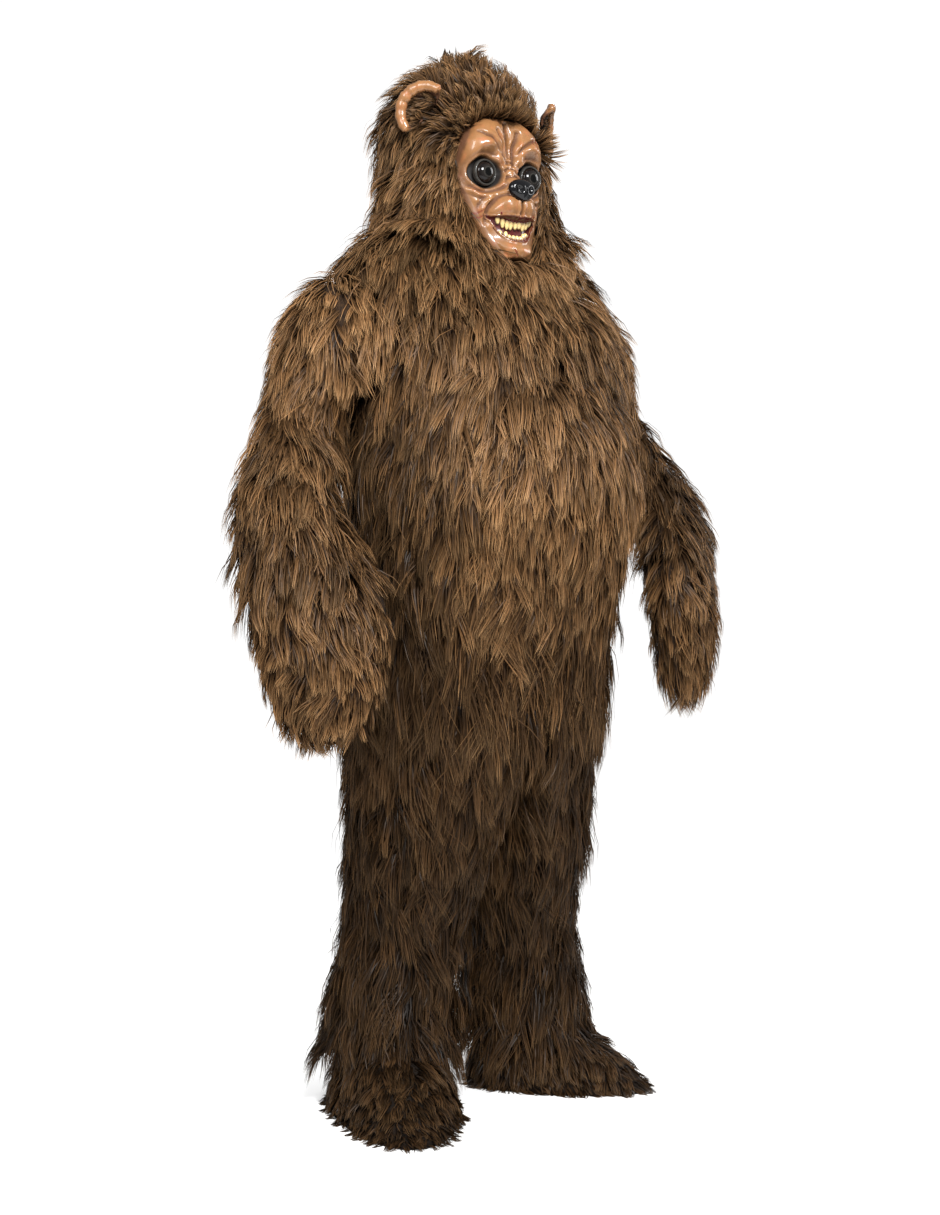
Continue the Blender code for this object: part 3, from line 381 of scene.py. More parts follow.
def lens_finish(name):
    """Black glass with a faint ring round a darker middle."""
    finish = Finish(name, Specular_IOR_Level=0.22)
    ring = finish.attribute("ring")
    streak = finish.noise(380.0, 2.0)
    colour = finish.ramp(
        ring,
        (0.0, (0.001, 0.001, 0.001)),
        (0.34, (0.002, 0.002, 0.002)),
        (0.42, (0.026, 0.024, 0.021)),
        (0.50, (0.012, 0.010, 0.009)),
        (0.80, (0.004, 0.003, 0.003)),
        (1.0, (0.020, 0.012, 0.008)),
    )
    colour = finish.blend(finish.level(streak, 0.55, 0.8) * 0.3, colour, (0.014, 0.012, 0.011))
    return finish.feed(Base_Color=colour, Roughness=finish.level(streak, 0.2, 0.9) * 0.05 + 0.05)


def rubber_finish(name, colour, roughness):
    """Dark moulded rubber, a little dusty, with a fine pebbled grain."""
    finish = Finish(name, Coat_Weight=0.25, Coat_Roughness=0.07, Specular_IOR_Level=0.22)
    inputs = {"Vector": finish.place(), "Scale": 480.0}
    pebble = finish.node("ShaderNodeTexVoronoi", {}, inputs, "Distance")
    dust = finish.noise(110.0)
    mixed = finish.blend(finish.level(dust, 0.45, 0.8) * 0.5, colour, scaled(colour, 2.0))
    rough = finish.level(dust, 0.3, 0.8) * 0.14 + roughness
    return finish.feed(Base_Color=mixed, Roughness=rough, Normal=finish.bump(pebble, 0.14, 0.0005))


def tooth_finish(look):
    """Ivory with brown stain towards the gum and fine lengthwise lines."""
    finish = Finish("stained_ivory", Coat_Weight=0.5, Coat_Roughness=0.15, Specular_IOR_Level=0.5)
    gum = finish.attribute("gum")
    lines = finish.noise(300.0, stretch=(3.0, 3.0, 0.3))
    ivory = tuple(look.ivory)
    colour = finish.blend(finish.level(lines, 0.3, 0.7) * 0.35, ivory, scaled(ivory, 0.62))
    stain = finish.level(gum + lines * 0.4, 0.62, 1.15)
    colour = finish.blend(stain, colour, (0.135, 0.050, 0.016))
    normal = finish.bump(lines, 0.2, 0.0008)
    return finish.feed(Base_Color=colour, Roughness=lines * 0.2 + 0.22, Normal=normal)


def tape_finish(name, colour, scale):
    """Woven tape: fine ribs both ways."""
    finish = Finish(name, Roughness=0.8)
    inputs = {"Vector": finish.place(), "Scale": scale}
    warp = finish.node("ShaderNodeTexWave", {"bands_direction": "X"}, inputs, "Fac")
    weft = finish.node("ShaderNodeTexWave", {"bands_direction": "Z"}, inputs, "Fac")
    weave = warp * weft
    woven = finish.blend(weave, scaled(colour, 0.5), colour)
    return finish.feed(Base_Color=woven, Normal=finish.bump(weave, 0.5, 0.0006))


def unit(vectors):
    return vectors / np.maximum(np.linalg.norm(vectors, axis=-1, keepdims=True), 1e-9)


def bell(value, half):
    return np.exp(-((value / half) ** 2))


def rising(value, start, width):
    """0 up to start, then up to 1 over the width."""
    return np.clip((value - start) / width, 0, 1)


def falling(value, start, width):
    """0 down to start, then up to 1 over the width below it."""
    return np.clip((start - value) / width, 0, 1)


def side_of(name):
    """1 for the piece on the wearer's left and -1 for the one on the right."""
    return -1.0 if name.endswith("right") else 1.0


def drawn(count):
    return count


def circle(sides):
    return [2 * math.pi * k / sides for k in range(sides)]


def tube_faces(first, rings, sides):
    """Faces between rings of points that follow one another from the first point on."""
    faces = []
    for r in range(rings - 1):
        for k in range(sides):
            a, b = first + r * sides + k, first + r * sides + (k + 1) % sides
            faces.append((a, b, b + sides, a + sides))
    return faces


def end_faces(rings, sides):
    """The two faces that close a tube."""
    return [tuple(range(sides)), tuple(range((rings - 1) * sides, rings * sides))]


def ripple(points, scale, phase):
    """A smooth uneven value from -1 to 1 over space."""
    x, y, z = (points * scale).T
    first = np.sin(1.3 * x + 2.1 * z + phase) + np.sin(1.9 * y - 1.1 * z + 2 * phase)
    second = np.sin(3.1 * x - 2.3 * y + 1.7 * phase) * 0.6
    third = np.sin(2.7 * z + 1.9 * x + 0.7 * phase) * 0.6
    return (first + (second + third)) / 3.2


def linked(name, data):
    """A new object in the scene."""
    made = bpy.data.objects.new(name, data)
    bpy.context.scene.collection.objects.link(made)
    return made


def new_piece(name, mesh, finish, slot, *replaced, smooth=True):
    """Links a finished mesh as a piece that rides on the costume."""
    piece = linked(name, mesh)
    mesh.materials.append(finish)
    mesh.polygons.foreach_set("use_smooth", [smooth] * len(mesh.polygons))
    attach(piece, BODY)
    if replaced:
        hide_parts(*replaced)
    return piece


def set_values(mesh, name, values):
    layer = mesh.attributes.new(name, "FLOAT", "POINT")
    layer.data.foreach_set("value", np.asarray(values, np.float32).ravel())


def set_latex_maps(mesh, **maps):
    """Fills the maps that the painted latex reads, with 0 where none is given."""
    for name in LATEX_MAPS:
        set_values(mesh, name, maps.get(name, np.zeros(len(mesh.vertices))))


def mesh_of(build, name):
    """The finished mesh of a build, which is then let go."""
    mesh = bpy.data.meshes.new(name)
    build.to_mesh(mesh)
    build.free()
    return mesh


def merged_node(node):
    """A node's mesh with its faces joined up."""
    build = bmesh.new()
    build.from_mesh(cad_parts[node].data)
    bmesh.ops.remove_doubles(build, verts=build.verts[:], dist=0.00004)
    build.normal_update()
    build.faces.index_update()
    build.verts.ensure_lookup_table()
    build.faces.ensure_lookup_table()
    return build


def outside_faces(build):
    """The faces of a wall's outside: the largest patch that no sharp edge crosses."""
    left = set(build.faces)
    best, best_area = [], 0.0
    for start in build.faces:
        if start not in left:
            continue
        left.discard(start)
        patch, stack = [], [start]
        while stack:
            face = stack.pop()
            patch.append(face)
            for edge in face.edges:
                if len(edge.link_faces) == 2 and edge.calc_face_angle(0.0) < CORNER:
                    for other in edge.link_faces:
                        if other in left:
                            left.discard(other)
                            stack.append(other)
        area = sum(face.calc_area() for face in patch)
        if area > best_area:
            best, best_area = patch, area
    return sorted(best, key=lambda face: face.index)


def open_jaw(build):
    """Draws the hood's front edge back and aside, round the chin and jaw of the face."""
    for vertex in build.verts:
        low = falling(vertex.co.z + SHOULDER_HEIGHT, JAW_HEIGHT, 0.08)
        near = falling(abs(vertex.co.x), 0.135, 0.05) * (vertex.co.y < -0.06)
        off_middle = min(1.0, abs(vertex.co.x) / 0.02)
        vertex.co.y += JAW_BACK * low * near
        vertex.co.x += math.copysign(JAW_ASIDE, vertex.co.x) * low * near * off_middle


def face_rim(rng, rim, count):
    """Roots along the hood's edge round the face, with strands that stand forward over the edge."""
    middle = rim.mean(1)
    height = middle[:, 2] + SHOULDER_HEIGHT
    forward = (middle[:, 1] < -0.03) & (np.abs(middle[:, 0]) < 0.125)
    rim = rim[forward & (height > 1.44) & (height < 1.76)]
    long = np.linalg.norm(rim[:, 1] - rim[:, 0], axis=1)
    chosen = rng.choice(len(rim), count, p=long / long.sum())
    share = rng.random(count)[:, None]
    roots = rim[chosen, 0] * (1 - share) + rim[chosen, 1] * share
    inward = np.array([0.0, 0.0, 0.145]) - roots  # to the middle of the face
    inward[:, 1] = 0
    inward = unit(inward) * rng.uniform(0.1, 0.9, (count, 1))
    normals = unit(np.array([0.0, -1.0, 0.0]) + inward)
    return roots + rng.normal(0, 0.0015, roots.shape), normals


def thin_backing(node):
    """The wall cut down to the backing's thickness from outside, and its new outside as arrays."""
    build = merged_node(node)
    wall = BVHTree.FromBMesh(build)
    outside = outside_faces(build)
    patch = set(outside)
    near = others_tree(node)
    normals = {}
    for face in outside:
        weight = face.normal * face.calc_area()
        for vertex in face.verts:
            normals[vertex] = normals.get(vertex, Vector()) + weight
    moved = {}
    for vertex, total in normals.items():
        normal = total.normalized()
        hit = wall.ray_cast(vertex.co - normal * PROBE, -normal, PROBE_REACH)
        depth = hit[3] + PROBE if hit[0] is not None else DEPTH_UNFELT
        close = near.ray_cast(vertex.co + normal * SKIN, normal, PROBE_REACH)[0] is not None
        cut = max(0.0, min(depth, DEEPEST_PILE) - BACKING)
        moved[vertex] = vertex.co - normal * cut * (0.5 if close else 1.0)
    for vertex, place in moved.items():
        vertex.co = (place.x, place.y, max(place.z, SOLE))
    for _ in range(3):
        calm = {}
        for vertex in moved:
            around = [edge.other_vert(vertex) for edge in vertex.link_edges]
            if all(other in moved for other in around):
                middle = sum((other.co for other in around), Vector()) / len(around)
                calm[vertex] = vertex.co.lerp(middle, 0.35)
        for vertex, place in calm.items():
            vertex.co = place
    if node.startswith("hood"):
        open_jaw(build)
    build.normal_update()
    order = {vertex: i for i, vertex in enumerate(normals)}
    rim = []
    for edge in build.edges:
        if sum(face in patch for face in edge.link_faces) == 1:
            rim.append([vertex.co.copy() for vertex in edge.verts])
    rim = np.array(rim)
    points = np.array([vertex.co for vertex in order])
    faces = np.array([[order[vertex] for vertex in face.verts] for face in outside])
    corners = points[faces]
    across = np.cross(corners[:, 1] - corners[:, 0], corners[:, 2] - corners[:, 0])
    smooth = np.zeros_like(points)
    for i in range(3):
        np.add.at(smooth, faces[:, i], across)
    areas = np.linalg.norm(across, axis=1) / 2
    return mesh_of(build, node + "_backing"), points, faces, unit(smooth), areas, rim


def covered(points, normals, others):
    """True where another fur piece lies close over a point."""
    hidden = np.zeros(len(points), bool)
    for i, (point, normal) in enumerate(zip(points, normals)):
        start = Vector(point) + Vector(normal) * SKIN
        hidden[i] = others.ray_cast(start, Vector(normal), CLOSE_REACH)[0] is not None
    return hidden


def others_tree(node):
    """The other fur pieces' walls, for finding what they cover."""
    points, faces = [], []
    for row in FUR_PIECES:
        if row[0] == node:
            continue
        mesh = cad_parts[row[0]].data
        first = len(points)
        points += [vertex.co.copy() for vertex in mesh.vertices]
        faces += [[first + i for i in face.vertices] for face in mesh.polygons]
    return BVHTree.FromPolygons(points, faces)


def lie_of_fur(node, points):
    """The way the fur runs at each point, before it is laid on the surface."""
    height = points[:, 2] + SHOULDER_HEIGHT
    flow = np.zeros_like(points)
    flow[:, 2] = -1.0
    if node.startswith("suit"):
        flow[:, 0] = 0.9 * points[:, 0] * bell(height - 1.02, 0.3)
    if node.startswith("hood"):
        out = unit(np.column_stack([points[:, 0], points[:, 1] - 0.05, 0 * height]))
        ahead = np.clip((0.11 - points[:, 1]) / 0.14, 0.25, 1)
        uneven = height - 1.67 + 0.02 * ripple(points, 30.0, 0.5)
        crown = (np.clip(uneven / 0.12, 0, 1) * ahead)[:, None]
        hang = flow + 0.30 * out + np.array([0.0, 0.22, 0.0])
        flow = (1 - crown) * hang + crown * (0.50 * out + np.array([0, 0.12, 0.9]))
        face = np.array([0.0, -0.10, 0.155])
        away = unit((points - face) * np.array([1.0, 0.25, 1.0]))
        brow = (falling(points[:, 1], -0.02, 0.06) * rising(height, 1.650, 0.05))[:, None]
        flow = (1 - brow) * flow + brow * (1.2 * away + np.array([0, 0.35, 0.0]))
    if node.startswith("ear"):
        flow = 0.35 * flow + unit(np.array(EAR_OUT)) * np.array([side_of(node), 1.0, 1.0])
    if node.startswith("foot"):
        ankle = np.array([0.150 * side_of(node), 0.036, 0.0])
        out = unit((points - ankle) * np.array([1.0, 1.0, 0.0]))
        flow = flow * 0.75 + out * 0.8
    return flow


def fur_length(node, points):
    """How the strands' length varies over a piece, as a share of the piece's own."""
    height = points[:, 2] + SHOULDER_HEIGHT
    aside = np.abs(points[:, 0])
    share = np.ones(len(points))
    if node.startswith("hood"):
        share += 0.22 * falling(height, 1.60, 0.06)
        share -= 0.35 * falling(points[:, 1], -0.05, 0.04) * rising(height, 1.50, 0.08)
        share += 0.20 * bell(height - 1.72, 0.05) * rising(aside, 0.09, 0.03)
    if node.startswith("suit"):
        share += 0.50 * falling(height, HEM, HEM_FADE)
    if node.startswith("leg"):
        share += 0.25 * falling(aside, 0.06, 0.05) * rising(height, 0.25, 0.2)
    if node.startswith(("leg", "foot")):
        share *= np.clip(0.60 + (height - 0.02) / 0.12, 0.60, 1.3)
    return share


def fur_lift(node, points):
    """How much more the fur stands up than elsewhere, in radians."""
    height = points[:, 2] + SHOULDER_HEIGHT
    if node.startswith("hood"):
        side = rising(np.abs(points[:, 0]), 0.08, 0.04)
        oval = np.hypot(points[:, 0] / 0.085, (height - 1.595) / 0.130)
        rim = bell(oval - 1.0, 0.16) * (points[:, 1] < -0.03)
        ahead = np.clip((0.10 - points[:, 1]) / 0.12, 0.15, 1)
        crown = 0.60 * rising(height, 1.68, 0.10) * ahead
        low = 0.30 * falling(height, 1.50, 0.05)
        return crown - low + 0.22 * side * rising(height, 1.58, 0.08) + 0.25 * rim
    if node.startswith("suit"):
        return -0.20 * falling(height, HEM, HEM_FADE)
    return np.zeros(len(points))


def tone_and_painted_light(node, points):
    """Broad changes of tone, at random and as painted light and shade: painted shade low on the suit
    and down the legs, in the chest crease, under the arms, on the wearer's right side below the chest,
    inside and low on the sleeves and over the left sleeve; a painted highlight on the belly and the
    upper sleeves. The hood and the suit are also darker towards their tops.
    """
    height = points[:, 2] + SHOULDER_HEIGHT
    aside = np.abs(points[:, 0])
    ahead = points[:, 1] < -0.1
    tone = 0.13 * ripple(points, 9.0, 0.4) + 0.10 * ripple(points, 27.0, 1.9)
    if node.startswith("hood"):
        tone -= 0.10 * rising(height, 1.66, 0.06)
    if node.startswith("suit"):
        tone -= 0.10 * rising(height, 1.28, 0.06)
        # painted shade on the wearer's right side, below the chest
        tone -= 0.22 * falling(points[:, 0], -0.12, 0.08) * falling(height, 1.25, 0.08)
        tone += 0.17 * bell(height - 1.10, 0.13) * ahead  # painted highlight on the belly
        tone -= 0.26 * bell(height - 1.262 + 0.03 * points[:, 0], 0.026) * ahead  # painted shade in the chest crease
        tone -= 0.34 * rising(aside, 0.16, 0.07) * falling(height, 1.27, 0.08)  # painted shade under the arms
        # painted shade, darker down the suit towards its hem
        tone -= 0.34 * falling(height, 1.02, 0.24)
    if node.startswith("sleeve"):
        # painted shade inside and low on the sleeves, a painted highlight on their upper part, and
        # painted shade over the whole left sleeve
        inner = falling(aside, 0.33, 0.05) * (height < 1.2)
        tone -= 0.34 * inner + 0.18 * falling(height, 1.20, 0.16)
        tone += 0.16 * rising(height, 1.20, 0.10) - 0.12 * node.endswith("left")
    if node.startswith(("leg", "foot")):
        # painted shade, darker down the legs
        tone += 0.28 - 0.42 * falling(height, 0.82, 0.34)
    return tone


def scatter(rng, points, faces, normals, areas, count):
    """Points spread evenly over triangles, with the normal at each."""
    share = areas / areas.sum() * count
    number = (share + rng.random(len(share))).astype(int)
    chosen = np.repeat(np.arange(len(faces)), number)
    a, b = rng.random((2, len(chosen)))
    over = a + b > 1
    a[over], b[over] = 1 - a[over], 1 - b[over]
    weights = np.stack([1 - a - b, a, b], axis=1)[:, :, None]
    return (points[faces[chosen]] * weights).sum(1), unit((normals[faces[chosen]] * weights).sum(1))


def spines(roots, normals, flow, length, lift, droop, wave, phase):
    """Four points along each strand, from its root to its tip."""
    upright = flow * np.cos(lift)[:, None] + normals * np.sin(lift)[:, None]
    fallen = flow * np.cos(droop)[:, None] + normals * np.sin(droop)[:, None]
    fallen = unit(fallen + np.array([0, 0, -0.18]))
    side = np.cross(normals, flow)
    step = (length / 3)[:, None]
    first = roots + step * upright + side * (wave * np.sin(phase))[:, None]
    second = first + step * unit(upright + fallen) + side * (wave * np.sin(phase + 2.1))[:, None]
    third = second + step * fallen + side * (wave * np.sin(phase + 4.0))[:, None]
    return np.stack([roots, first, second, third], axis=1)


def laid(flow, normals):
    """Directions pressed onto the surface."""
    flat = flow - normals * (flow * normals).sum(1, keepdims=True)
    weak = np.linalg.norm(flat, axis=1) < 0.05
    flat[weak] += np.cross(normals[weak], np.array([1.0, 0.3, 0.1]))
    return unit(flat)


def turned(flow, normals, angle):
    """Directions turned about the surface normal."""
    side = np.cross(normals, flow)
    return flow * np.cos(angle)[:, None] + side * np.sin(angle)[:, None]


def grow_fur(rng, node, roots, normals, length, lift, look):
    """The strands' spines, side directions and tones. Strands gather into pointed locks."""
    count = len(roots)
    locks = rng.choice(count, max(1, count // look.strands_in_lock), replace=False)
    tree = KDTree(len(locks))
    for i, j in enumerate(locks):
        tree.insert(roots[j], i)
    tree.balance()
    own = np.array([tree.find(root)[1] for root in roots])

    flow = laid(lie_of_fur(node, roots), normals)
    calm = 0.62 if node.startswith("suit") else 1.0
    swirl = calm * (0.40 * ripple(roots, 17.0, 0.9) + 0.26 * ripple(roots, 41.0, 2.2))
    flow = turned(flow, normals, swirl)
    lengths = length * fur_length(node, roots)
    lifts = lift + fur_lift(node, roots)

    def of_lock(values):
        return values[own]

    shortest = 0.50 if node.startswith("hood") else 0.66
    lock_turn = rng.normal(0, 0.24, len(locks))
    lock_long = rng.uniform(shortest, 1.24, len(locks))
    lock_lift = rng.normal(0, 0.13, len(locks))
    lock_wave = rng.uniform(0.0006, 0.0030, len(locks))
    lock_phase = rng.uniform(0, 2 * math.pi, len(locks))
    lock_tone = rng.normal(0, 0.17, len(locks))
    lock_flow = turned(flow[locks], normals[locks], lock_turn)
    guide = spines(
        roots[locks],
        normals[locks],
        lock_flow,
        lengths[locks] * lock_long,
        lifts[locks] + lock_lift,
        np.full(len(locks), 0.02),
        lock_wave,
        lock_phase,
    )
    loose = rng.random(count) < 0.07
    spread = np.where(loose, 0.30, 0.11)
    strand_flow = turned(flow, normals, of_lock(lock_turn) + rng.normal(0, 1, count) * spread)
    strand = spines(
        roots,
        normals,
        strand_flow,
        lengths * of_lock(lock_long) * rng.uniform(0.70, 1.08, count),
        lifts + of_lock(lock_lift) + rng.normal(0, 0.08, count) + 0.16 * loose,
        rng.normal(0.02, 0.06, count),
        of_lock(lock_wave) + 0.0004,
        of_lock(lock_phase) + rng.normal(0, 0.3, count),
    )
    gather = look.gather * np.where(loose, 0.15, rng.uniform(0.6, 1.0, count))
    for i, share in ((1, 0.22), (2, 0.62), (3, 1.0)):
        pull = (gather * share)[:, None]
        strand[:, i] = strand[:, i] * (1 - pull) + of_lock(guide[:, i]) * pull
    strand = np.clip(strand, np.array(CAD_BOX[0]) - PROUD, np.array(CAD_BOX[1]) + PROUD)
    strand[:, :, 2] = np.maximum(strand[:, :, 2], SOLE)
    run = unit(strand[:, 2] - strand[:, 0])
    side = unit(np.cross(run, normals))
    rise = np.cross(side, run)
    roll = rng.normal(0, 0.55, count)
    side = side * np.cos(roll)[:, None] + rise * np.sin(roll)[:, None]
    # tone carries painted light and shade as well as each lock's and strand's own tone
    tone = 0.50 + tone_and_painted_light(node, roots) + of_lock(lock_tone) + rng.normal(0, 0.21, count)
    return strand, side, np.clip(tone, 0.03, 0.97)


def ribbon_mesh(name, strand, side, tone, width):
    """One joined mesh of tapering ribbons, with a map that gives each its tone and its length."""
    count = len(strand)
    half = np.array([0.50, 0.48, 0.33]) * width
    left = strand[:, :3] - side[:, None, :] * half[None, :, None]
    right = strand[:, :3] + side[:, None, :] * half[None, :, None]
    points = np.empty((count, 7, 3), np.float32)
    points[:, 0:6:2] = left
    points[:, 1:6:2] = right
    points[:, 6] = strand[:, 3]
    points[:, :, 2] = np.maximum(points[:, :, 2], FLOOR)
    corners = np.array([0, 1, 3, 2, 2, 3, 5, 4, 4, 5, 6])
    rows = np.array([0.0, 0.0, 0.3, 0.3, 0.62, 0.62, 1.0])
    sides = np.array([-1.0, 1.0, -1.0, 1.0, -1.0, 1.0, 0.0]) * 0.005
    loops = (np.arange(count) * 7)[:, None] + corners[None, :]
    mesh = bpy.data.meshes.new(name)
    mesh.vertices.add(count * 7)
    mesh.vertices.foreach_set("co", points.ravel())
    mesh.loops.add(count * 11)
    mesh.loops.foreach_set("vertex_index", loops.ravel().astype(np.int32))
    mesh.polygons.add(count * 3)
    starts = (np.arange(count) * 11)[:, None] + np.array([0, 4, 8])[None, :]
    mesh.polygons.foreach_set("loop_start", starts.ravel().astype(np.int32))
    layer = mesh.uv_layers.new(name="OFBake")
    across = tone[:, None] + sides[corners][None, :]
    along = np.broadcast_to(rows[corners][None, :], across.shape)
    layer.data.foreach_set("uv", np.stack([across, along], axis=2).astype(np.float32).ravel())
    mesh.update(calc_edges=True)
    mesh.validate()
    return mesh


def dress(names, look):
    """Gives the named fur pieces their backing and their strands."""
    for number, row in enumerate(FUR_PIECES):
        node, slot, length, lift, density, cut_width, cut_length, held = row
        if not node.startswith(names):
            continue
        rng = np.random.default_rng(look.seed + number)
        # painted shade: the legs' strands and underfur are darkened by this share
        darkness = 1.0 if slot == "fur" else look.leg_painted_shade
        mesh, points, faces, normals, areas, rim = thin_backing(node)
        underfur = shared(slot + "_underfur", backing_finish, look, darkness)
        strands = shared(slot + "_strands", fur_finish, look, darkness)
        backing = new_piece(node + "_backing", mesh, underfur, slot, node)
        count = drawn(min(MOST_STRANDS, int(areas.sum() * look.density * density)))
        roots, root_normals = scatter(rng, points, faces, normals, areas, count)
        shown = ~covered(roots, root_normals, others_tree(node))
        roots, root_normals = roots[shown], root_normals[shown]
        if node.startswith("hood"):
            edge_roots, edge_normals = face_rim(rng, rim, drawn(RIM_STRANDS))
            roots = np.vstack([roots, edge_roots])
            root_normals = np.vstack([root_normals, edge_normals])
        lifted = math.radians(lift)
        strand, side, tone = grow_fur(rng, node, roots, root_normals, length, lifted, look)
        width = look.strand_width * 1.0
        ribbons = ribbon_mesh(node + "_fur", strand, side, tone, width)
        fur = new_piece(node + "_fur", ribbons, strands, slot, node)
        print("fur", node, len(roots), "strands", round(float(areas.sum()), 3), "square metres")


def line_distance(x, height, row):
    """Distance from each point to one bent line of the face, and the share run along it."""
    x0, h0, x1, h1, x2, h2 = row[:6]
    nearest = np.full(x.shape, 9.0)
    where = np.zeros(x.shape)
    for t in np.linspace(0, 1, 25):
        px = (1 - t) ** 2 * x0 + 2 * t * (1 - t) * x1 + t**2 * x2
        ph = (1 - t) ** 2 * h0 + 2 * t * (1 - t) * h1 + t**2 * h2
        away = np.hypot(x - px, height - ph)
        closer = away < nearest
        nearest = np.where(closer, away, nearest)
        where = np.where(closer, t, where)
    return nearest, where


def blurred(grid, times):
    for _ in range(times):
        wide = np.pad(grid, 1, mode="edge")
        grid = (wide[:-2, 1:-1] + wide[2:, 1:-1] + wide[1:-1, :-2] + wide[1:-1, 2:] + 2 * grid) / 6
    return grid


def mouth_reach(x, height):
    """Below 1 inside the open mouth and 1 at its edge: a nearly straight top, a deep curve below."""
    share = np.abs(x) / MOUTH_HALF
    top = MOUTH_TOP + 0.004 * share**2
    foot = MOUTH_LOW + 0.034 * share**2.4
    middle, half = (top + foot) / 2, np.maximum((top - foot) / 2, 0.0035)
    return ((np.abs(height - middle) / half) ** 2 + (share * 0.94) ** 8) ** 0.5


def socket_reach(x, height):
    """Distance from the middle of an eye socket, which draws out towards the bridge of the nose."""
    dx, dh = np.abs(x) - EYE[0], height - EYE[1]
    corner = 0.0060 * np.exp(-(((dx + 0.030) / 0.016) ** 2) - ((dh - 0.004) / 0.012) ** 2)
    return np.hypot(dx, dh) - corner


def face_surface():
    """The mask's outside as a grid of places read from its node."""
    build = merged_node("mask_face")
    mask = BVHTree.FromBMesh(build)
    build.free()
    low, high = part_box("mask_face")
    ahead = Vector((0, 1, 0))
    z = np.linspace(low.z + FACE_EDGE, high.z - FACE_EDGE, FACE_ROWS)
    reach = np.zeros(FACE_ROWS)
    for i in range(FACE_ROWS):
        for x in np.arange(0.0, high.x + 0.002, 0.001):
            if mask.ray_cast(Vector((x, -1.0, z[i])), ahead)[0] is not None:
                reach[i] = x
    reach = np.convolve(np.pad(reach, 3, mode="edge"), np.ones(7) / 7, mode="valid")
    x = reach[:, None] * np.linspace(-1, 1, FACE_COLUMNS)[None, :]
    depth = np.full(x.shape, np.nan)
    for i in range(FACE_ROWS):
        for j in range(FACE_COLUMNS):
            hit = mask.ray_cast(Vector((x[i, j], -1.0, z[i])), ahead)
            if hit[0] is not None:
                depth[i, j] = hit[0].y
    for i in range(FACE_ROWS):
        good = ~np.isnan(depth[i])
        depth[i] = np.interp(np.arange(FACE_COLUMNS), np.flatnonzero(good), depth[i][good])
    return x, np.repeat(z[:, None], FACE_COLUMNS, axis=1), blurred(depth, 9)


def face_relief(x, height):
    """How far the sculpted forms stand out of the mask, and where its scratches are."""
    rise = np.zeros(x.shape)
    scratch = np.zeros(x.shape)
    for spot_x, spot_height, half_x, half_height, tilt, out in FACE_FORMS:
        for side in (-1, 1) if spot_x else (1,):
            turn = math.radians(tilt) * side
            dx, dh = x - side * spot_x, height - spot_height
            a = dx * math.cos(turn) + dh * math.sin(turn)
            b = dh * math.cos(turn) - dx * math.sin(turn)
            rise += out * np.exp(-((a / half_x) ** 2) - (b / half_height) ** 2)
    wander = 0.0011 * np.sin(170 * height + 40 * x) + 0.0008 * np.sin(260 * x - 90 * height)
    for row in FACE_FURROWS:
        half_width, depth = row[6:]
        for side in (-1, 1):
            away, share = line_distance(side * x + wander, height + 0.7 * wander * side, row)
            fade = np.sin(math.pi * np.clip(0.12 + 0.76 * share, 0, 1)) ** 0.6
            rise -= depth * fade * bell(away, half_width)
            rise += 0.35 * depth * fade * bell(away - 2.2 * half_width, 1.4 * half_width)
    for row in FACE_SCRATCHES:
        half_width, depth = row[6:]
        away, share = line_distance(x + 0.6 * wander, height, row)
        narrow = half_width * (0.35 + 0.65 * np.sin(math.pi * share))
        scratch = np.maximum(scratch, bell(away, narrow))
        rise -= depth * bell(away, narrow)
        rise += 0.5 * depth * bell(away - 2.0 * half_width, half_width)
    reach = mouth_reach(x, height)
    rise -= 0.0070 * falling(reach, 1.10, 0.25)
    rise += 0.0034 * bell(reach - 1.24, 0.13)
    rise += 0.0007 * np.sin(520 * x + 3 * np.sin(300 * height)) * bell(reach - 1.22, 0.15)
    away = socket_reach(x, height)
    rise += 0.0030 * bell(away - 0.0310, 0.0022) - 0.0030 * falling(away, 0.0285, 0.003)
    return rise, scratch


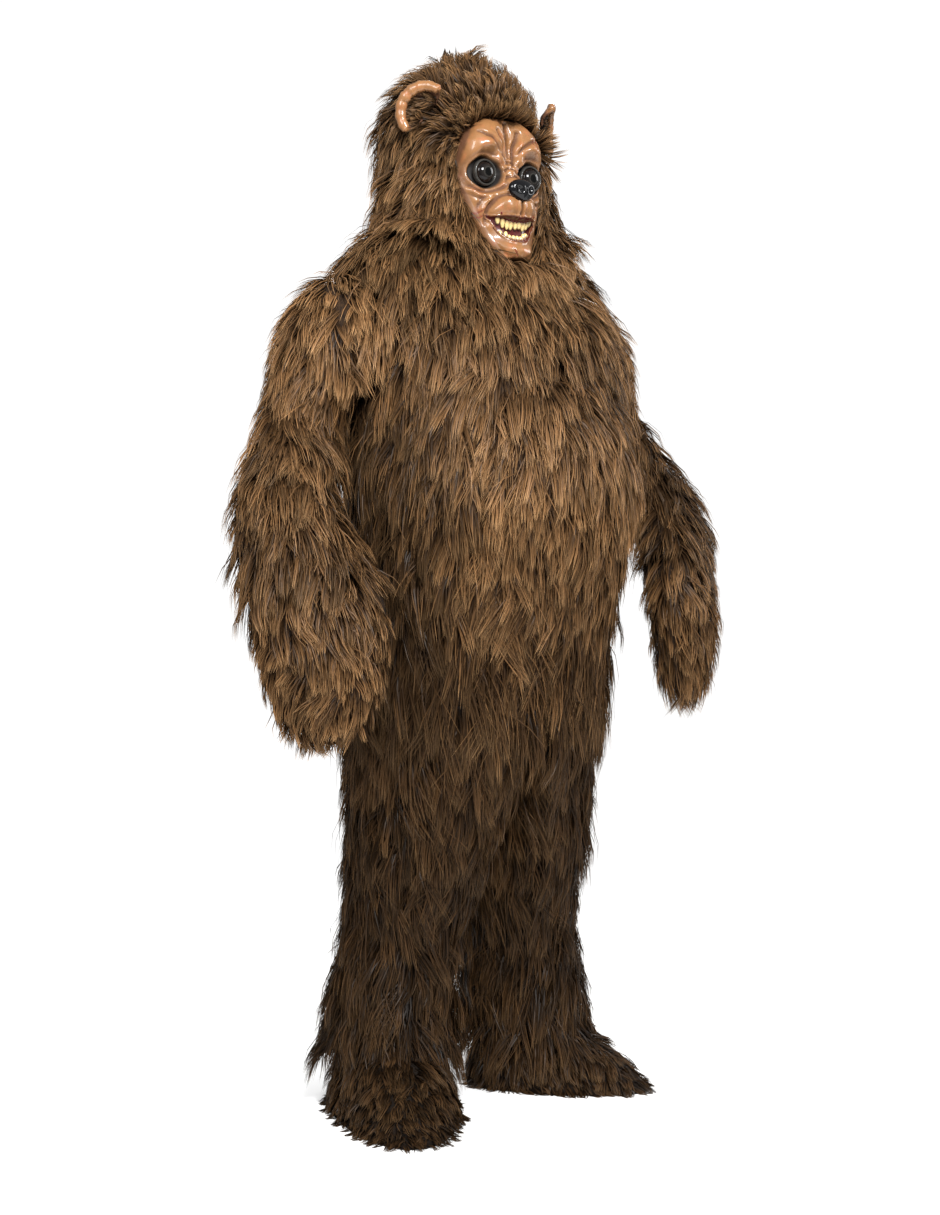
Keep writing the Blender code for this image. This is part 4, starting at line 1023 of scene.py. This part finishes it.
def sculpt_face():
    """The whole face as one sculpted sheet over the mask's outside, drawn back round its edges;
    MakeFace gives it its wall.
    """
    x, z, depth = face_surface()
    height = z + SHOULDER_HEIGHT
    rise, scratch = face_relief(x, height)
    edge = np.minimum(np.linspace(0, 1, FACE_COLUMNS), np.linspace(1, 0, FACE_COLUMNS))[None, :]
    rise *= np.clip(edge / 0.06, 0, 1)
    front = depth - rise
    # painted shade, with the mask's own brown paint: darker where the face lies deeper than its blurred
    # self
    furrow = np.clip((front - blurred(front, 14)) / 0.0016, 0, 1)
    away = socket_reach(x, height)
    socket = falling(away, SOCKET[1], SOCKET[1] - SOCKET[0])
    # a darker ring just outside each eye rim, in the same map
    furrow = np.clip(furrow + 0.35 * bell(away - 0.034, 0.004), 0, 1)
    mouth = falling(mouth_reach(x, height), 1.30, 0.16)
    maps = {"furrow": furrow, "mouth": mouth, "scratch": scratch, "socket": socket}
    for out, back in ((0.003, 0.006), (0.005, 0.024)):
        x, z, front = (np.pad(part, 1, mode="edge") for part in (x, z, front))
        out = out * (1 + 1.4 * falling(z[:, 0], 1.60 - SHOULDER_HEIGHT, 0.05))
        x[:, 0] -= out
        x[:, -1] += out
        z[0] -= 0.003
        z[-1] += 0.003
        for line in (np.s_[:, 0], np.s_[:, -1], np.s_[0, 1:-1], np.s_[-1, 1:-1]):
            front[line] += back
    points = np.stack([x, front, z], axis=2).reshape(-1, 3)
    rows, columns = x.shape
    faces = []
    for r in range(rows - 1):
        for c in range(columns - 1):
            a = r * columns + c
            faces.append((a, a + 1, a + columns + 1, a + columns))
    mesh = bpy.data.meshes.new("bear_face")
    mesh.from_pydata([tuple(point) for point in points], [], faces)
    mesh.update()
    set_latex_maps(mesh, **{name: np.pad(values, 2, mode="edge") for name, values in maps.items()})
    return mesh


def modify(piece, kind, **settings):
    """Puts one modifier's work into a piece's own mesh."""
    modifier = piece.modifiers.new(kind.lower(), kind)
    for key, value in settings.items():
        setattr(modifier, key, value)
    made = piece.evaluated_get(bpy.context.evaluated_depsgraph_get())
    mesh = bpy.data.meshes.new_from_object(made)
    piece.modifiers.clear()
    piece.data = mesh


def revolved(profile, centre):
    """Rings of a profile of radius and depth turned about the Y axis, closed at its first row."""
    x, y, z = centre
    points = [(x, y + profile[0][1], z)]
    radii = [0.0]
    for radius, deep in profile[1:]:
        for t in circle(EYE_SIDES):
            points.append((x + radius * math.cos(t), y + deep, z + radius * math.sin(t)))
            radii.append(radius)
    faces = [(0, 1 + k, 1 + (k + 1) % EYE_SIDES) for k in range(EYE_SIDES)]
    faces += tube_faces(1, len(profile) - 1, EYE_SIDES)
    return points, radii, faces


def build_mesh(name, points, faces):
    """A mesh of those points and faces, with its faces turned outward."""
    mesh = bpy.data.meshes.new(name)
    mesh.from_pydata(points, [], faces)
    build = bmesh.new()
    build.from_mesh(mesh)
    bmesh.ops.recalc_face_normals(build, faces=build.faces[:])
    build.to_mesh(mesh)
    build.free()
    return mesh


def make_eye(side, look):
    """A domed lens in a rolled rubber rim."""
    low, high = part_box("eye_lens_" + side)
    centre = ((low.x + high.x) / 2, high.y, (low.z + high.z) / 2)
    radius, deep = (high.x - low.x) / 2, high.y - low.y
    turn = np.linspace(0, math.pi / 2, 18)
    profile = [
        (radius * LENS_SHARE * math.sin(t), -deep * (0.15 + 0.85 * math.cos(t))) for t in turn
    ]
    profile += [(radius * LENS_SHARE, 0.0)]
    points, radii, faces = revolved(profile, centre)
    mesh = build_mesh("lens_" + side, points, faces)
    set_values(mesh, "ring", np.array(radii) / radius)
    glass = shared("eye_glass", lens_finish)
    new_piece("lens_" + side, mesh, glass, "gloss_black", "eye_lens_" + side)
    rim = [(radius * 0.90, 0.0)]
    for t in np.linspace(-0.2 * math.pi, 1.1 * math.pi, 12):
        out = radius * (1.06 + 0.115 * math.cos(math.pi - t))
        rim.append((out, -0.0015 - 0.0052 * max(0.0, math.sin(t)) - 0.0016))
    rim.append((radius * 1.16, 0.0))
    points, radii, faces = revolved([(0.0, 0.0)] + rim, centre)
    faces = [face for face in faces if 0 not in face]
    mesh = build_mesh("eye_rim_" + side, points, faces)
    rubber = shared("socket_rubber", rubber_finish, look.rim, 0.30)
    new_piece("eye_rim_" + side, mesh, rubber, "gloss_black", "eye_lens_" + side)


def make_nose(look):
    """A leathery nose pad with two nostrils and a cleft."""
    low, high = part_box("nose")
    centre = np.array([0.0, high.y, (low.z + high.z) / 2])
    wide, tall = (high.x - low.x) / 2 * NOSE_WIDER, (high.z - low.z) / 2 * NOSE_TALLER
    half = np.array([wide, high.y - low.y, tall])
    build = bmesh.new()
    bmesh.ops.create_icosphere(build, subdivisions=5, radius=1.0)
    for vertex in build.verts:
        x, y, z = vertex.co
        y = min(y, 0.12 + 0.8 * max(0.0, z))
        widened = 1.0 + 0.10 * z - 0.14 * max(0.0, -z) ** 1.5
        out = 1.0
        for side in (-1, 1):
            away = math.hypot((x - side * 0.46) / 0.23, (z + 0.10 - 0.25 * abs(x)) / 0.26)
            out -= 0.52 * math.exp(-away**2) * (y < 0)
            out += 0.10 * math.exp(-((away - 1.5) ** 2) / 0.20) * (y < 0)
        out -= 0.10 * math.exp(-((x / 0.07) ** 2)) * (z < 0.3)
        vertex.co = centre + half * np.array([x * widened, y * out, z * 1.03])
    rubber = rubber_finish("nose_rubber", look.nose, 0.10)
    new_piece("nose_pad", mesh_of(build, "nose_pad"), rubber, "gloss_black", "nose")


def make_teeth(rng, look):
    """Single teeth, uneven in length, width and lean, set in a bumpy gum."""
    ivory = tooth_finish(look)
    gum_material = rubber_finish("gum_rubber", look.gum, 0.22)
    face = BVHTree.FromObject(bpy.data.objects["bear_face"], bpy.context.evaluated_depsgraph_get())

    def skin(x, z):
        return face.ray_cast(Vector((x, -1.0, z)), Vector((0.0, 1.0, 0.0)))[0].y

    for node, count, gum_height, tip_height, half_row in TEETH:
        points, faces, gums = [], [], []
        pitch = 2 * half_row / count
        down = math.copysign(1.0, tip_height - gum_height)

        def root_z(share):
            return gum_height - SHOULDER_HEIGHT + TEETH_SMILE * share**2

        for i in range(count):
            x = -half_row + pitch * (i + 0.5) + rng.normal(0, 0.0003)
            share = x / half_row
            canine = bell(abs(share) - 0.62, 0.16)
            length = abs(tip_height - gum_height) * (0.80 + 0.26 * canine + rng.uniform(-0.14, 0.10))
            width = pitch * (0.50 + 0.04 * rng.random() - 0.04 * canine)
            lean = rng.normal(0, 0.06) - 0.10 * share
            base_z = root_z(share)
            base_y = skin(x, base_z + 0.5 * down * length) - 0.0020
            first = len(points)
            for part, size in TOOTH_RINGS:
                for t in circle(TOOTH_SIDES):
                    points.append((
                        x + width * size * math.cos(t) + lean * length * part,
                        base_y + TOOTH_DEPTH * size * math.sin(t) + 0.0012 * part,
                        base_z + down * length * part,
                    ))
                    gums.append(1.0 - max(0.0, part))
            points.append((x + lean * length, base_y + 0.0014, base_z + down * length))
            gums.append(0.0)
            faces += tube_faces(first, len(TOOTH_RINGS), TOOTH_SIDES)
            tip = len(points) - 1
            last = tip - TOOTH_SIDES
            for k in range(TOOTH_SIDES):
                faces.append((last + k, last + (k + 1) % TOOTH_SIDES, tip))
        mesh = build_mesh(node + "_row", points, faces)
        set_values(mesh, "gum", gums)
        new_piece(node + "_row", mesh, ivory, "ivory", node)

        points = []
        for step in range(GUM_STEPS):
            share = -1.0 + 2.0 * step / (GUM_STEPS - 1)
            x = share * half_row * 0.95
            swell = 0.5 + 0.5 * math.cos(2 * math.pi * (x / pitch + 0.5 * (count % 2 == 0)))
            middle = skin(x, root_z(share) + down * 0.004) - 0.0004
            radius = (0.0042 + 0.0012 * swell) * (1 - 0.8 * abs(share) ** 6)
            for t in circle(TOOTH_SIDES):
                between = down * 0.0020 * swell * (math.sin(t) * down > 0)
                z = root_z(share) - down * 0.0022 + between + radius * math.sin(t)
                points.append((x, middle - radius * 0.9 * math.cos(t), z))
        faces = tube_faces(0, GUM_STEPS, TOOTH_SIDES) + end_faces(GUM_STEPS, TOOTH_SIDES)
        gum_mesh = build_mesh(node + "_gum", points, faces)
        new_piece(node + "_gum", gum_mesh, gum_material, "latex", node)


def make_ear(side, fur):
    """The node's half bowl, rounded, with a shallow ribbed hollow, a rolled rim and hair inside."""
    node = "ear_" + side
    latex = bpy.data.materials["painted_latex"]
    mesh = mesh_of(merged_node(node), "ear_shell_" + side)
    piece = new_piece("ear_shell_" + side, mesh, latex, "latex", node)
    modify(piece, "SUBSURF", levels=2)
    mesh = piece.data
    co = np.empty(len(mesh.vertices) * 3)
    mesh.vertices.foreach_get("co", co)
    co = co.reshape(-1, 3)
    mirrored = np.array([side_of(side), 1.0, 1.0])
    out = unit(np.array(EAR_OUT)) * mirrored
    ahead = unit(np.array(EAR_FACES)) * mirrored
    ahead = unit(ahead - out * (ahead @ out))
    across = np.cross(out, ahead)
    up, along = co @ out, co @ across
    risen = (up - up.min()) / EAR_HEIGHT
    sideways = (along - (along.min() + along.max()) / 2) / EAR_HALF_WIDTH
    share = np.hypot(risen, sideways)
    # painted shade in the ear's hollow, inside its rim
    furrow = falling(share, 0.92, 0.10) * (1.15 + 0.20 * ripple(co, 220.0, 0.3))
    normals = np.empty(len(mesh.vertices) * 3)
    mesh.vertices.foreach_get("normal", normals)
    uneven = (0.0007 * ripple(co, 190.0, 1.1))[:, None]
    co += normals.reshape(-1, 3) * uneven + np.array(EAR_SHIFT) * mirrored
    mesh.vertices.foreach_set("co", co.ravel())
    mesh.update()
    set_latex_maps(mesh, furrow=furrow)

    bearing = np.arctan2(risen, sideways)
    line = []
    for t in np.linspace(0.02, math.pi - 0.02, ROLL_STEPS):
        weight = bell(bearing - t, 0.14) * (share > 0.90) + 1e-9
        line.append((co * weight[:, None]).sum(0) / weight.sum())
    line = np.array(line)
    middle = line[[0, -1]].mean(0)
    line = middle + (line - middle) * 0.95 + ahead * 0.002
    run = unit(np.gradient(line, axis=0))
    points = []
    for i, (spot, forward) in enumerate(zip(line, run)):
        first = unit(np.cross(forward, ahead))
        second = np.cross(forward, first)
        taper = 0.72 + 0.28 * math.sin(math.pi * i / (ROLL_STEPS - 1))
        radius = EAR_ROLL * taper * (1 + 0.07 * math.sin(i * 1.3) + 0.05 * math.sin(i * 2.9))
        for t in circle(ROLL_SIDES):
            round_it = 1.15 * math.cos(t) * first + 0.85 * math.sin(t) * second
            points.append(spot + radius * round_it)
    faces = tube_faces(0, ROLL_STEPS, ROLL_SIDES) + end_faces(ROLL_STEPS, ROLL_SIDES)
    rolled = build_mesh("ear_roll_" + side, points, faces)
    worn = np.clip(0.25 * ripple(np.array(points), 160.0, 0.7), 0, 1)
    set_latex_maps(rolled, furrow=worn)
    new_piece("ear_roll_" + side, rolled, latex, "latex", node)

    rng = np.random.default_rng(fur.seed + 40 + (side == "left"))
    centres = np.array([face.center for face in mesh.polygons])
    facing = np.array([face.normal for face in mesh.polygons])
    areas = np.array([face.area for face in mesh.polygons])
    inner = np.array([share[list(face.vertices)].mean() for face in mesh.polygons])
    areas = areas * (facing @ ahead > 0.25) * (inner < 0.66)
    chosen = rng.choice(len(areas), drawn(EAR_HAIRS), p=areas / areas.sum())
    roots = centres[chosen] + rng.normal(0, 0.0012, (len(chosen), 3))
    lift = math.radians(EAR_HAIR_LIFT)
    strand, beside, tone = grow_fur(rng, node, roots, facing[chosen], EAR_HAIR_LENGTH, lift, fur)
    tone = np.clip(tone - 0.22, 0.03, 0.97)
    hair = ribbon_mesh("ear_hair_" + side, strand, beside, tone, fur.strand_width)
    strands = shared("fur_strands", fur_finish, fur, 1.0)
    new_piece("ear_hair_" + side, hair, strands, "fur", node)


def make_zip():
    """Metal teeth down the tape inside the centre-back seam."""
    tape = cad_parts["back_zip"]
    low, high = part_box("back_zip")
    tree = BVHTree.FromObject(tape, bpy.context.evaluated_depsgraph_get())
    points, faces = [], []
    half_x, half_y, half_z = ZIP_TOOTH
    sides = ((0, 1, 3, 2), (4, 6, 7, 5), (0, 4, 5, 1), (2, 3, 7, 6), (0, 2, 6, 4), (1, 5, 7, 3))
    for i in range(int((high.z - low.z) / ZIP_PITCH)):
        z = low.z + ZIP_PITCH * (i + 0.5)
        hit = tree.ray_cast(Vector((0, -0.5, z)), Vector((0, 1, 0)))
        if hit[0] is None:
            continue
        middle = Vector((0.0015 * (1 if i % 2 else -1), hit[0].y - 0.0008, z))
        first = len(points)
        for dx in (-half_x, half_x):
            for dy in (-half_y, half_y):
                for dz in (-half_z, half_z):
                    points.append(tuple(middle + Vector((dx, dy, dz))))
        for face in sides:
            faces.append(tuple(first + k for k in face))
    mesh = build_mesh("zip_teeth", points, faces)
    brass = Finish("zip_brass", Metallic=0.9)
    wear = brass.noise(300.0)
    colour = brass.blend(wear, (0.20, 0.13, 0.05), (0.42, 0.30, 0.14))
    brass.feed(Base_Color=colour, Roughness=wear * 0.3 + 0.25)
    new_piece("zip_teeth", mesh, brass.material, "zip_tape", smooth=False)
    tape_material = tape_finish("woven_tape", (0.060, 0.035, 0.020), 900.0)
    for place in tape.material_slots:
        place.material = tape_material


def make_floor(look):
    """A round floor of matt white that gives back a little light."""
    mesh = bpy.data.meshes.new("floor")
    turns = np.linspace(0, 2 * math.pi, FLOOR_CORNERS, endpoint=False)
    rim = [(look.reach * math.cos(t), look.reach * math.sin(t), FLOOR) for t in turns]
    mesh.from_pydata(rim, [], [tuple(range(FLOOR_CORNERS))])
    finish = Finish(
        "pale_floor",
        Base_Color=(*look.floor, 1.0),
        Emission_Color=WHITE,
        Emission_Strength=look.glow,
        Roughness=0.9,
        Specular_IOR_Level=0.0,
    )
    mesh.materials.append(finish.material)
    linked("floor", mesh)


def make_backdrop(look):
    """A white studio all round, brighter as it is seen than in the light that it gives."""
    world = bpy.data.worlds.new("studio")
    world.use_nodes = True
    backdrop = world.node_tree.nodes["Background"]
    backdrop.inputs["Color"].default_value = WHITE
    seen = world.node_tree.nodes.new("ShaderNodeLightPath")
    strength = world.node_tree.nodes.new("ShaderNodeMapRange")
    strength.inputs["To Min"].default_value = look.ambient
    strength.inputs["To Max"].default_value = SEEN_WHITE
    world.node_tree.links.new(seen.outputs["Is Camera Ray"], strength.inputs["Value"])
    world.node_tree.links.new(strength.outputs["Result"], backdrop.inputs["Strength"])
    bpy.context.scene.world = world


class FurLook(bpy.types.PropertyGroup):
    """Sizes and colours of the fur."""

    density: bpy.props.FloatProperty(
        name="Strands per square metre", description="How close the strands stand",
        default=52000.0
    )
    strand_width: bpy.props.FloatProperty(
        name="Strand width", description="Width of a strand near its root", default=0.0020,
        unit="LENGTH"
    )
    strands_in_lock: bpy.props.IntProperty(
        name="Strands in a lock", description="How many strands gather into a lock", default=15
    )
    gather: bpy.props.FloatProperty(
        name="Gather", description="How far a lock's tips draw together", default=0.66
    )
    # painted shade on the legs: how dark their fur and underfur are painted beside the rest
    leg_painted_shade: bpy.props.FloatProperty(
        name="Leg darkness", description="Brightness of the leg fur beside the rest",
        default=0.36
    )
    seed: bpy.props.IntProperty(
        name="Seed", description="Starting number of the scatter", default=11
    )
    # the root colour is partly painted shade deep in the pile
    root: bpy.props.FloatVectorProperty(
        name="Root colour", description="Colour at the root", subtype="COLOR",
        default=(0.016, 0.008, 0.004)
    )
    middle: bpy.props.FloatVectorProperty(
        name="Middle colour", description="Colour half way up", subtype="COLOR",
        default=(0.225, 0.114, 0.046)
    )
    # the tip colour is partly a painted sheen
    tip: bpy.props.FloatVectorProperty(
        name="Tip colour", description="Colour at the tip", subtype="COLOR",
        default=(0.560, 0.328, 0.152)
    )


class FaceLook(bpy.types.PropertyGroup):
    """Sizes and colours of the face."""

    latex: bpy.props.FloatVectorProperty(
        name="Latex", description="Painted latex", subtype="COLOR",
        default=(0.250, 0.116, 0.044)
    )
    # the colour of the painted shade in the furrows and the ears' hollows, also of the freckles and the
    # worn patches
    shade: bpy.props.FloatVectorProperty(
        name="Furrow shade", description="Paint in the furrows", subtype="COLOR",
        default=(0.070, 0.026, 0.010)
    )
    # dark rubber, lightened a little as a painted highlight on the ring round each lens
    rim: bpy.props.FloatVectorProperty(
        name="Eye rim", description="Rubber round the lenses", subtype="COLOR",
        default=(0.026, 0.024, 0.021)
    )
    nose: bpy.props.FloatVectorProperty(
        name="Nose", description="Nose rubber", subtype="COLOR", default=(0.003, 0.003, 0.0035)
    )
    ivory: bpy.props.FloatVectorProperty(
        name="Teeth", description="Clean part of the teeth", subtype="COLOR",
        default=(0.600, 0.455, 0.195)
    )
    gum: bpy.props.FloatVectorProperty(
        name="Gum", description="Gums", subtype="COLOR", default=(0.085, 0.012, 0.008)
    )
    wall: bpy.props.FloatProperty(
        name="Latex wall", description="Thickness of the face", default=0.003, unit="LENGTH"
    )


class StageLook(bpy.types.PropertyGroup):
    """Camera, light and floor."""

    distance: bpy.props.FloatProperty(
        name="Camera distance", description="From the costume's axis", default=3.8,
        unit="LENGTH"
    )
    height: bpy.props.FloatProperty(
        name="Camera height", description="Above the floor", default=0.868, unit="LENGTH"
    )
    turn: bpy.props.FloatProperty(
        name="Camera turn", description="How far the camera stands to the costume's right",
        default=math.radians(37), subtype="ANGLE"
    )
    lens: bpy.props.FloatProperty(
        name="Lens", description="Focal length in millimetres on a frame 36 mm high",
        default=63.05
    )
    ambient: bpy.props.FloatProperty(
        name="Ambient", description="Light from all round", default=0.34
    )
    reach: bpy.props.FloatProperty(
        name="Floor reach", description="Radius of the floor", default=2.6, unit="LENGTH"
    )
    glow: bpy.props.FloatProperty(
        name="Floor glow", description="Light that the white floor gives back", default=0.15
    )
    floor: bpy.props.FloatVectorProperty(
        name="Floor", description="Floor colour", subtype="COLOR", default=(0.85, 0.85, 0.85)
    )


class MakeSuit(bpy.types.Operator):
    """Furs the body of the suit, front and back"""

    bl_idname = "costume.make_suit"
    bl_label = "Suit"

    def execute(self, context):
        dress(("suit",), context.scene.costume_fur)
        return {"FINISHED"}


class MakeArms(bpy.types.Operator):
    """Furs the sleeves and mitts"""

    bl_idname = "costume.make_arms"
    bl_label = "Sleeves and mitts"

    def execute(self, context):
        dress(("sleeve", "mitt"), context.scene.costume_fur)
        return {"FINISHED"}


class MakeLegs(bpy.types.Operator):
    """Furs the legs and foot covers"""

    bl_idname = "costume.make_legs"
    bl_label = "Legs and foot covers"

    def execute(self, context):
        dress(("leg", "foot"), context.scene.costume_fur)
        return {"FINISHED"}


class MakeHood(bpy.types.Operator):
    """Furs the hood"""

    bl_idname = "costume.make_hood"
    bl_label = "Hood"

    def execute(self, context):
        dress(("hood",), context.scene.costume_fur)
        return {"FINISHED"}


class MakeFace(bpy.types.Operator):
    """Sculpts the moulded face"""

    bl_idname = "costume.make_face"
    bl_label = "Face"

    def execute(self, context):
        look = context.scene.costume_face
        piece = new_piece("bear_face", sculpt_face(), latex_finish(look), "latex", "mask_face")
        modify(piece, "SOLIDIFY", thickness=look.wall, offset=-1.0)
        return {"FINISHED"}


class MakeTrim(bpy.types.Operator):
    """Sets the lenses, nose, teeth and gums in the face"""

    bl_idname = "costume.make_trim"
    bl_label = "Eyes, nose and teeth"

    def execute(self, context):
        look = context.scene.costume_face
        for side in ("left", "right"):
            make_eye(side, look)
        make_nose(look)
        make_teeth(np.random.default_rng(5), look)
        return {"FINISHED"}


class MakeEars(bpy.types.Operator):
    """Shapes the moulded ears"""

    bl_idname = "costume.make_ears"
    bl_label = "Ears"

    def execute(self, context):
        for side in ("left", "right"):
            make_ear(side, context.scene.costume_fur)
        return {"FINISHED"}


class MakeZip(bpy.types.Operator):
    """Puts the teeth on the back zip"""

    bl_idname = "costume.make_zip"
    bl_label = "Back zip"

    def execute(self, context):
        make_zip()
        return {"FINISHED"}


class MakeStage(bpy.types.Operator):
    """Lays the floor and sets the lights and the camera"""

    bl_idname = "costume.make_stage"
    bl_label = "Stage"

    def execute(self, context):
        look = context.scene.costume_stage
        make_floor(look)
        make_backdrop(look)
        context.scene.view_settings.view_transform = "Standard"
        for name, x, y, z, size, power in LAMPS:
            data = bpy.data.lights.new(name, "AREA")
            data.size = size
            data.energy = power
            lamp = linked(name, data)
            lamp.location = (x, y, z)
            aim = Vector(LAMP_TARGET) - Vector((x, y, z))
            lamp.rotation_euler = aim.to_track_quat("-Z", "Y").to_euler()
        data = bpy.data.cameras.new("camera")
        data.lens = look.lens
        data.sensor_fit = "VERTICAL"
        data.sensor_height = 36.0
        camera = linked("camera", data)
        x, y = -look.distance * math.sin(look.turn), -look.distance * math.cos(look.turn)
        camera.location = (x, y, look.height - SHOULDER_HEIGHT)
        camera.rotation_euler = (math.pi / 2, 0.0, -look.turn)
        context.scene.camera = camera
        return {"FINISHED"}


class CostumePanel(bpy.types.Panel):
    """Lists the costume's sizes and the steps that make it"""

    bl_idname = "VIEW3D_PT_costume"
    bl_label = "Bear costume"
    bl_space_type = "VIEW_3D"
    bl_region_type = "UI"
    bl_category = "Costume"

    def draw(self, context):
        for step in STEPS:
            self.layout.operator(step.bl_idname)
        scene = context.scene
        for group in (scene.costume_fur, scene.costume_face, scene.costume_stage):
            box = self.layout.box()
            for name in group.__annotations__:
                box.prop(group, name)


LOOKS = (FurLook, FaceLook, StageLook)
STEPS = (MakeStage, MakeFace, MakeTrim, MakeEars, MakeZip, MakeHood, MakeSuit, MakeArms, MakeLegs)


def register():
    for kind in (*LOOKS, *STEPS, CostumePanel):
        bpy.utils.register_class(kind)
    bpy.types.Scene.costume_fur = bpy.props.PointerProperty(type=FurLook)
    bpy.types.Scene.costume_face = bpy.props.PointerProperty(type=FaceLook)
    bpy.types.Scene.costume_stage = bpy.props.PointerProperty(type=StageLook)


def unregister():
    for name in ("costume_fur", "costume_face", "costume_stage"):
        delattr(bpy.types.Scene, name)
    for kind in reversed((*LOOKS, *STEPS, CostumePanel)):
        bpy.utils.unregister_class(kind)


def main():
    register()
    for step in STEPS:
        group, name = step.bl_idname.split(".")
        getattr(getattr(bpy.ops, group), name)()


if __name__ == "__main__":
    main()
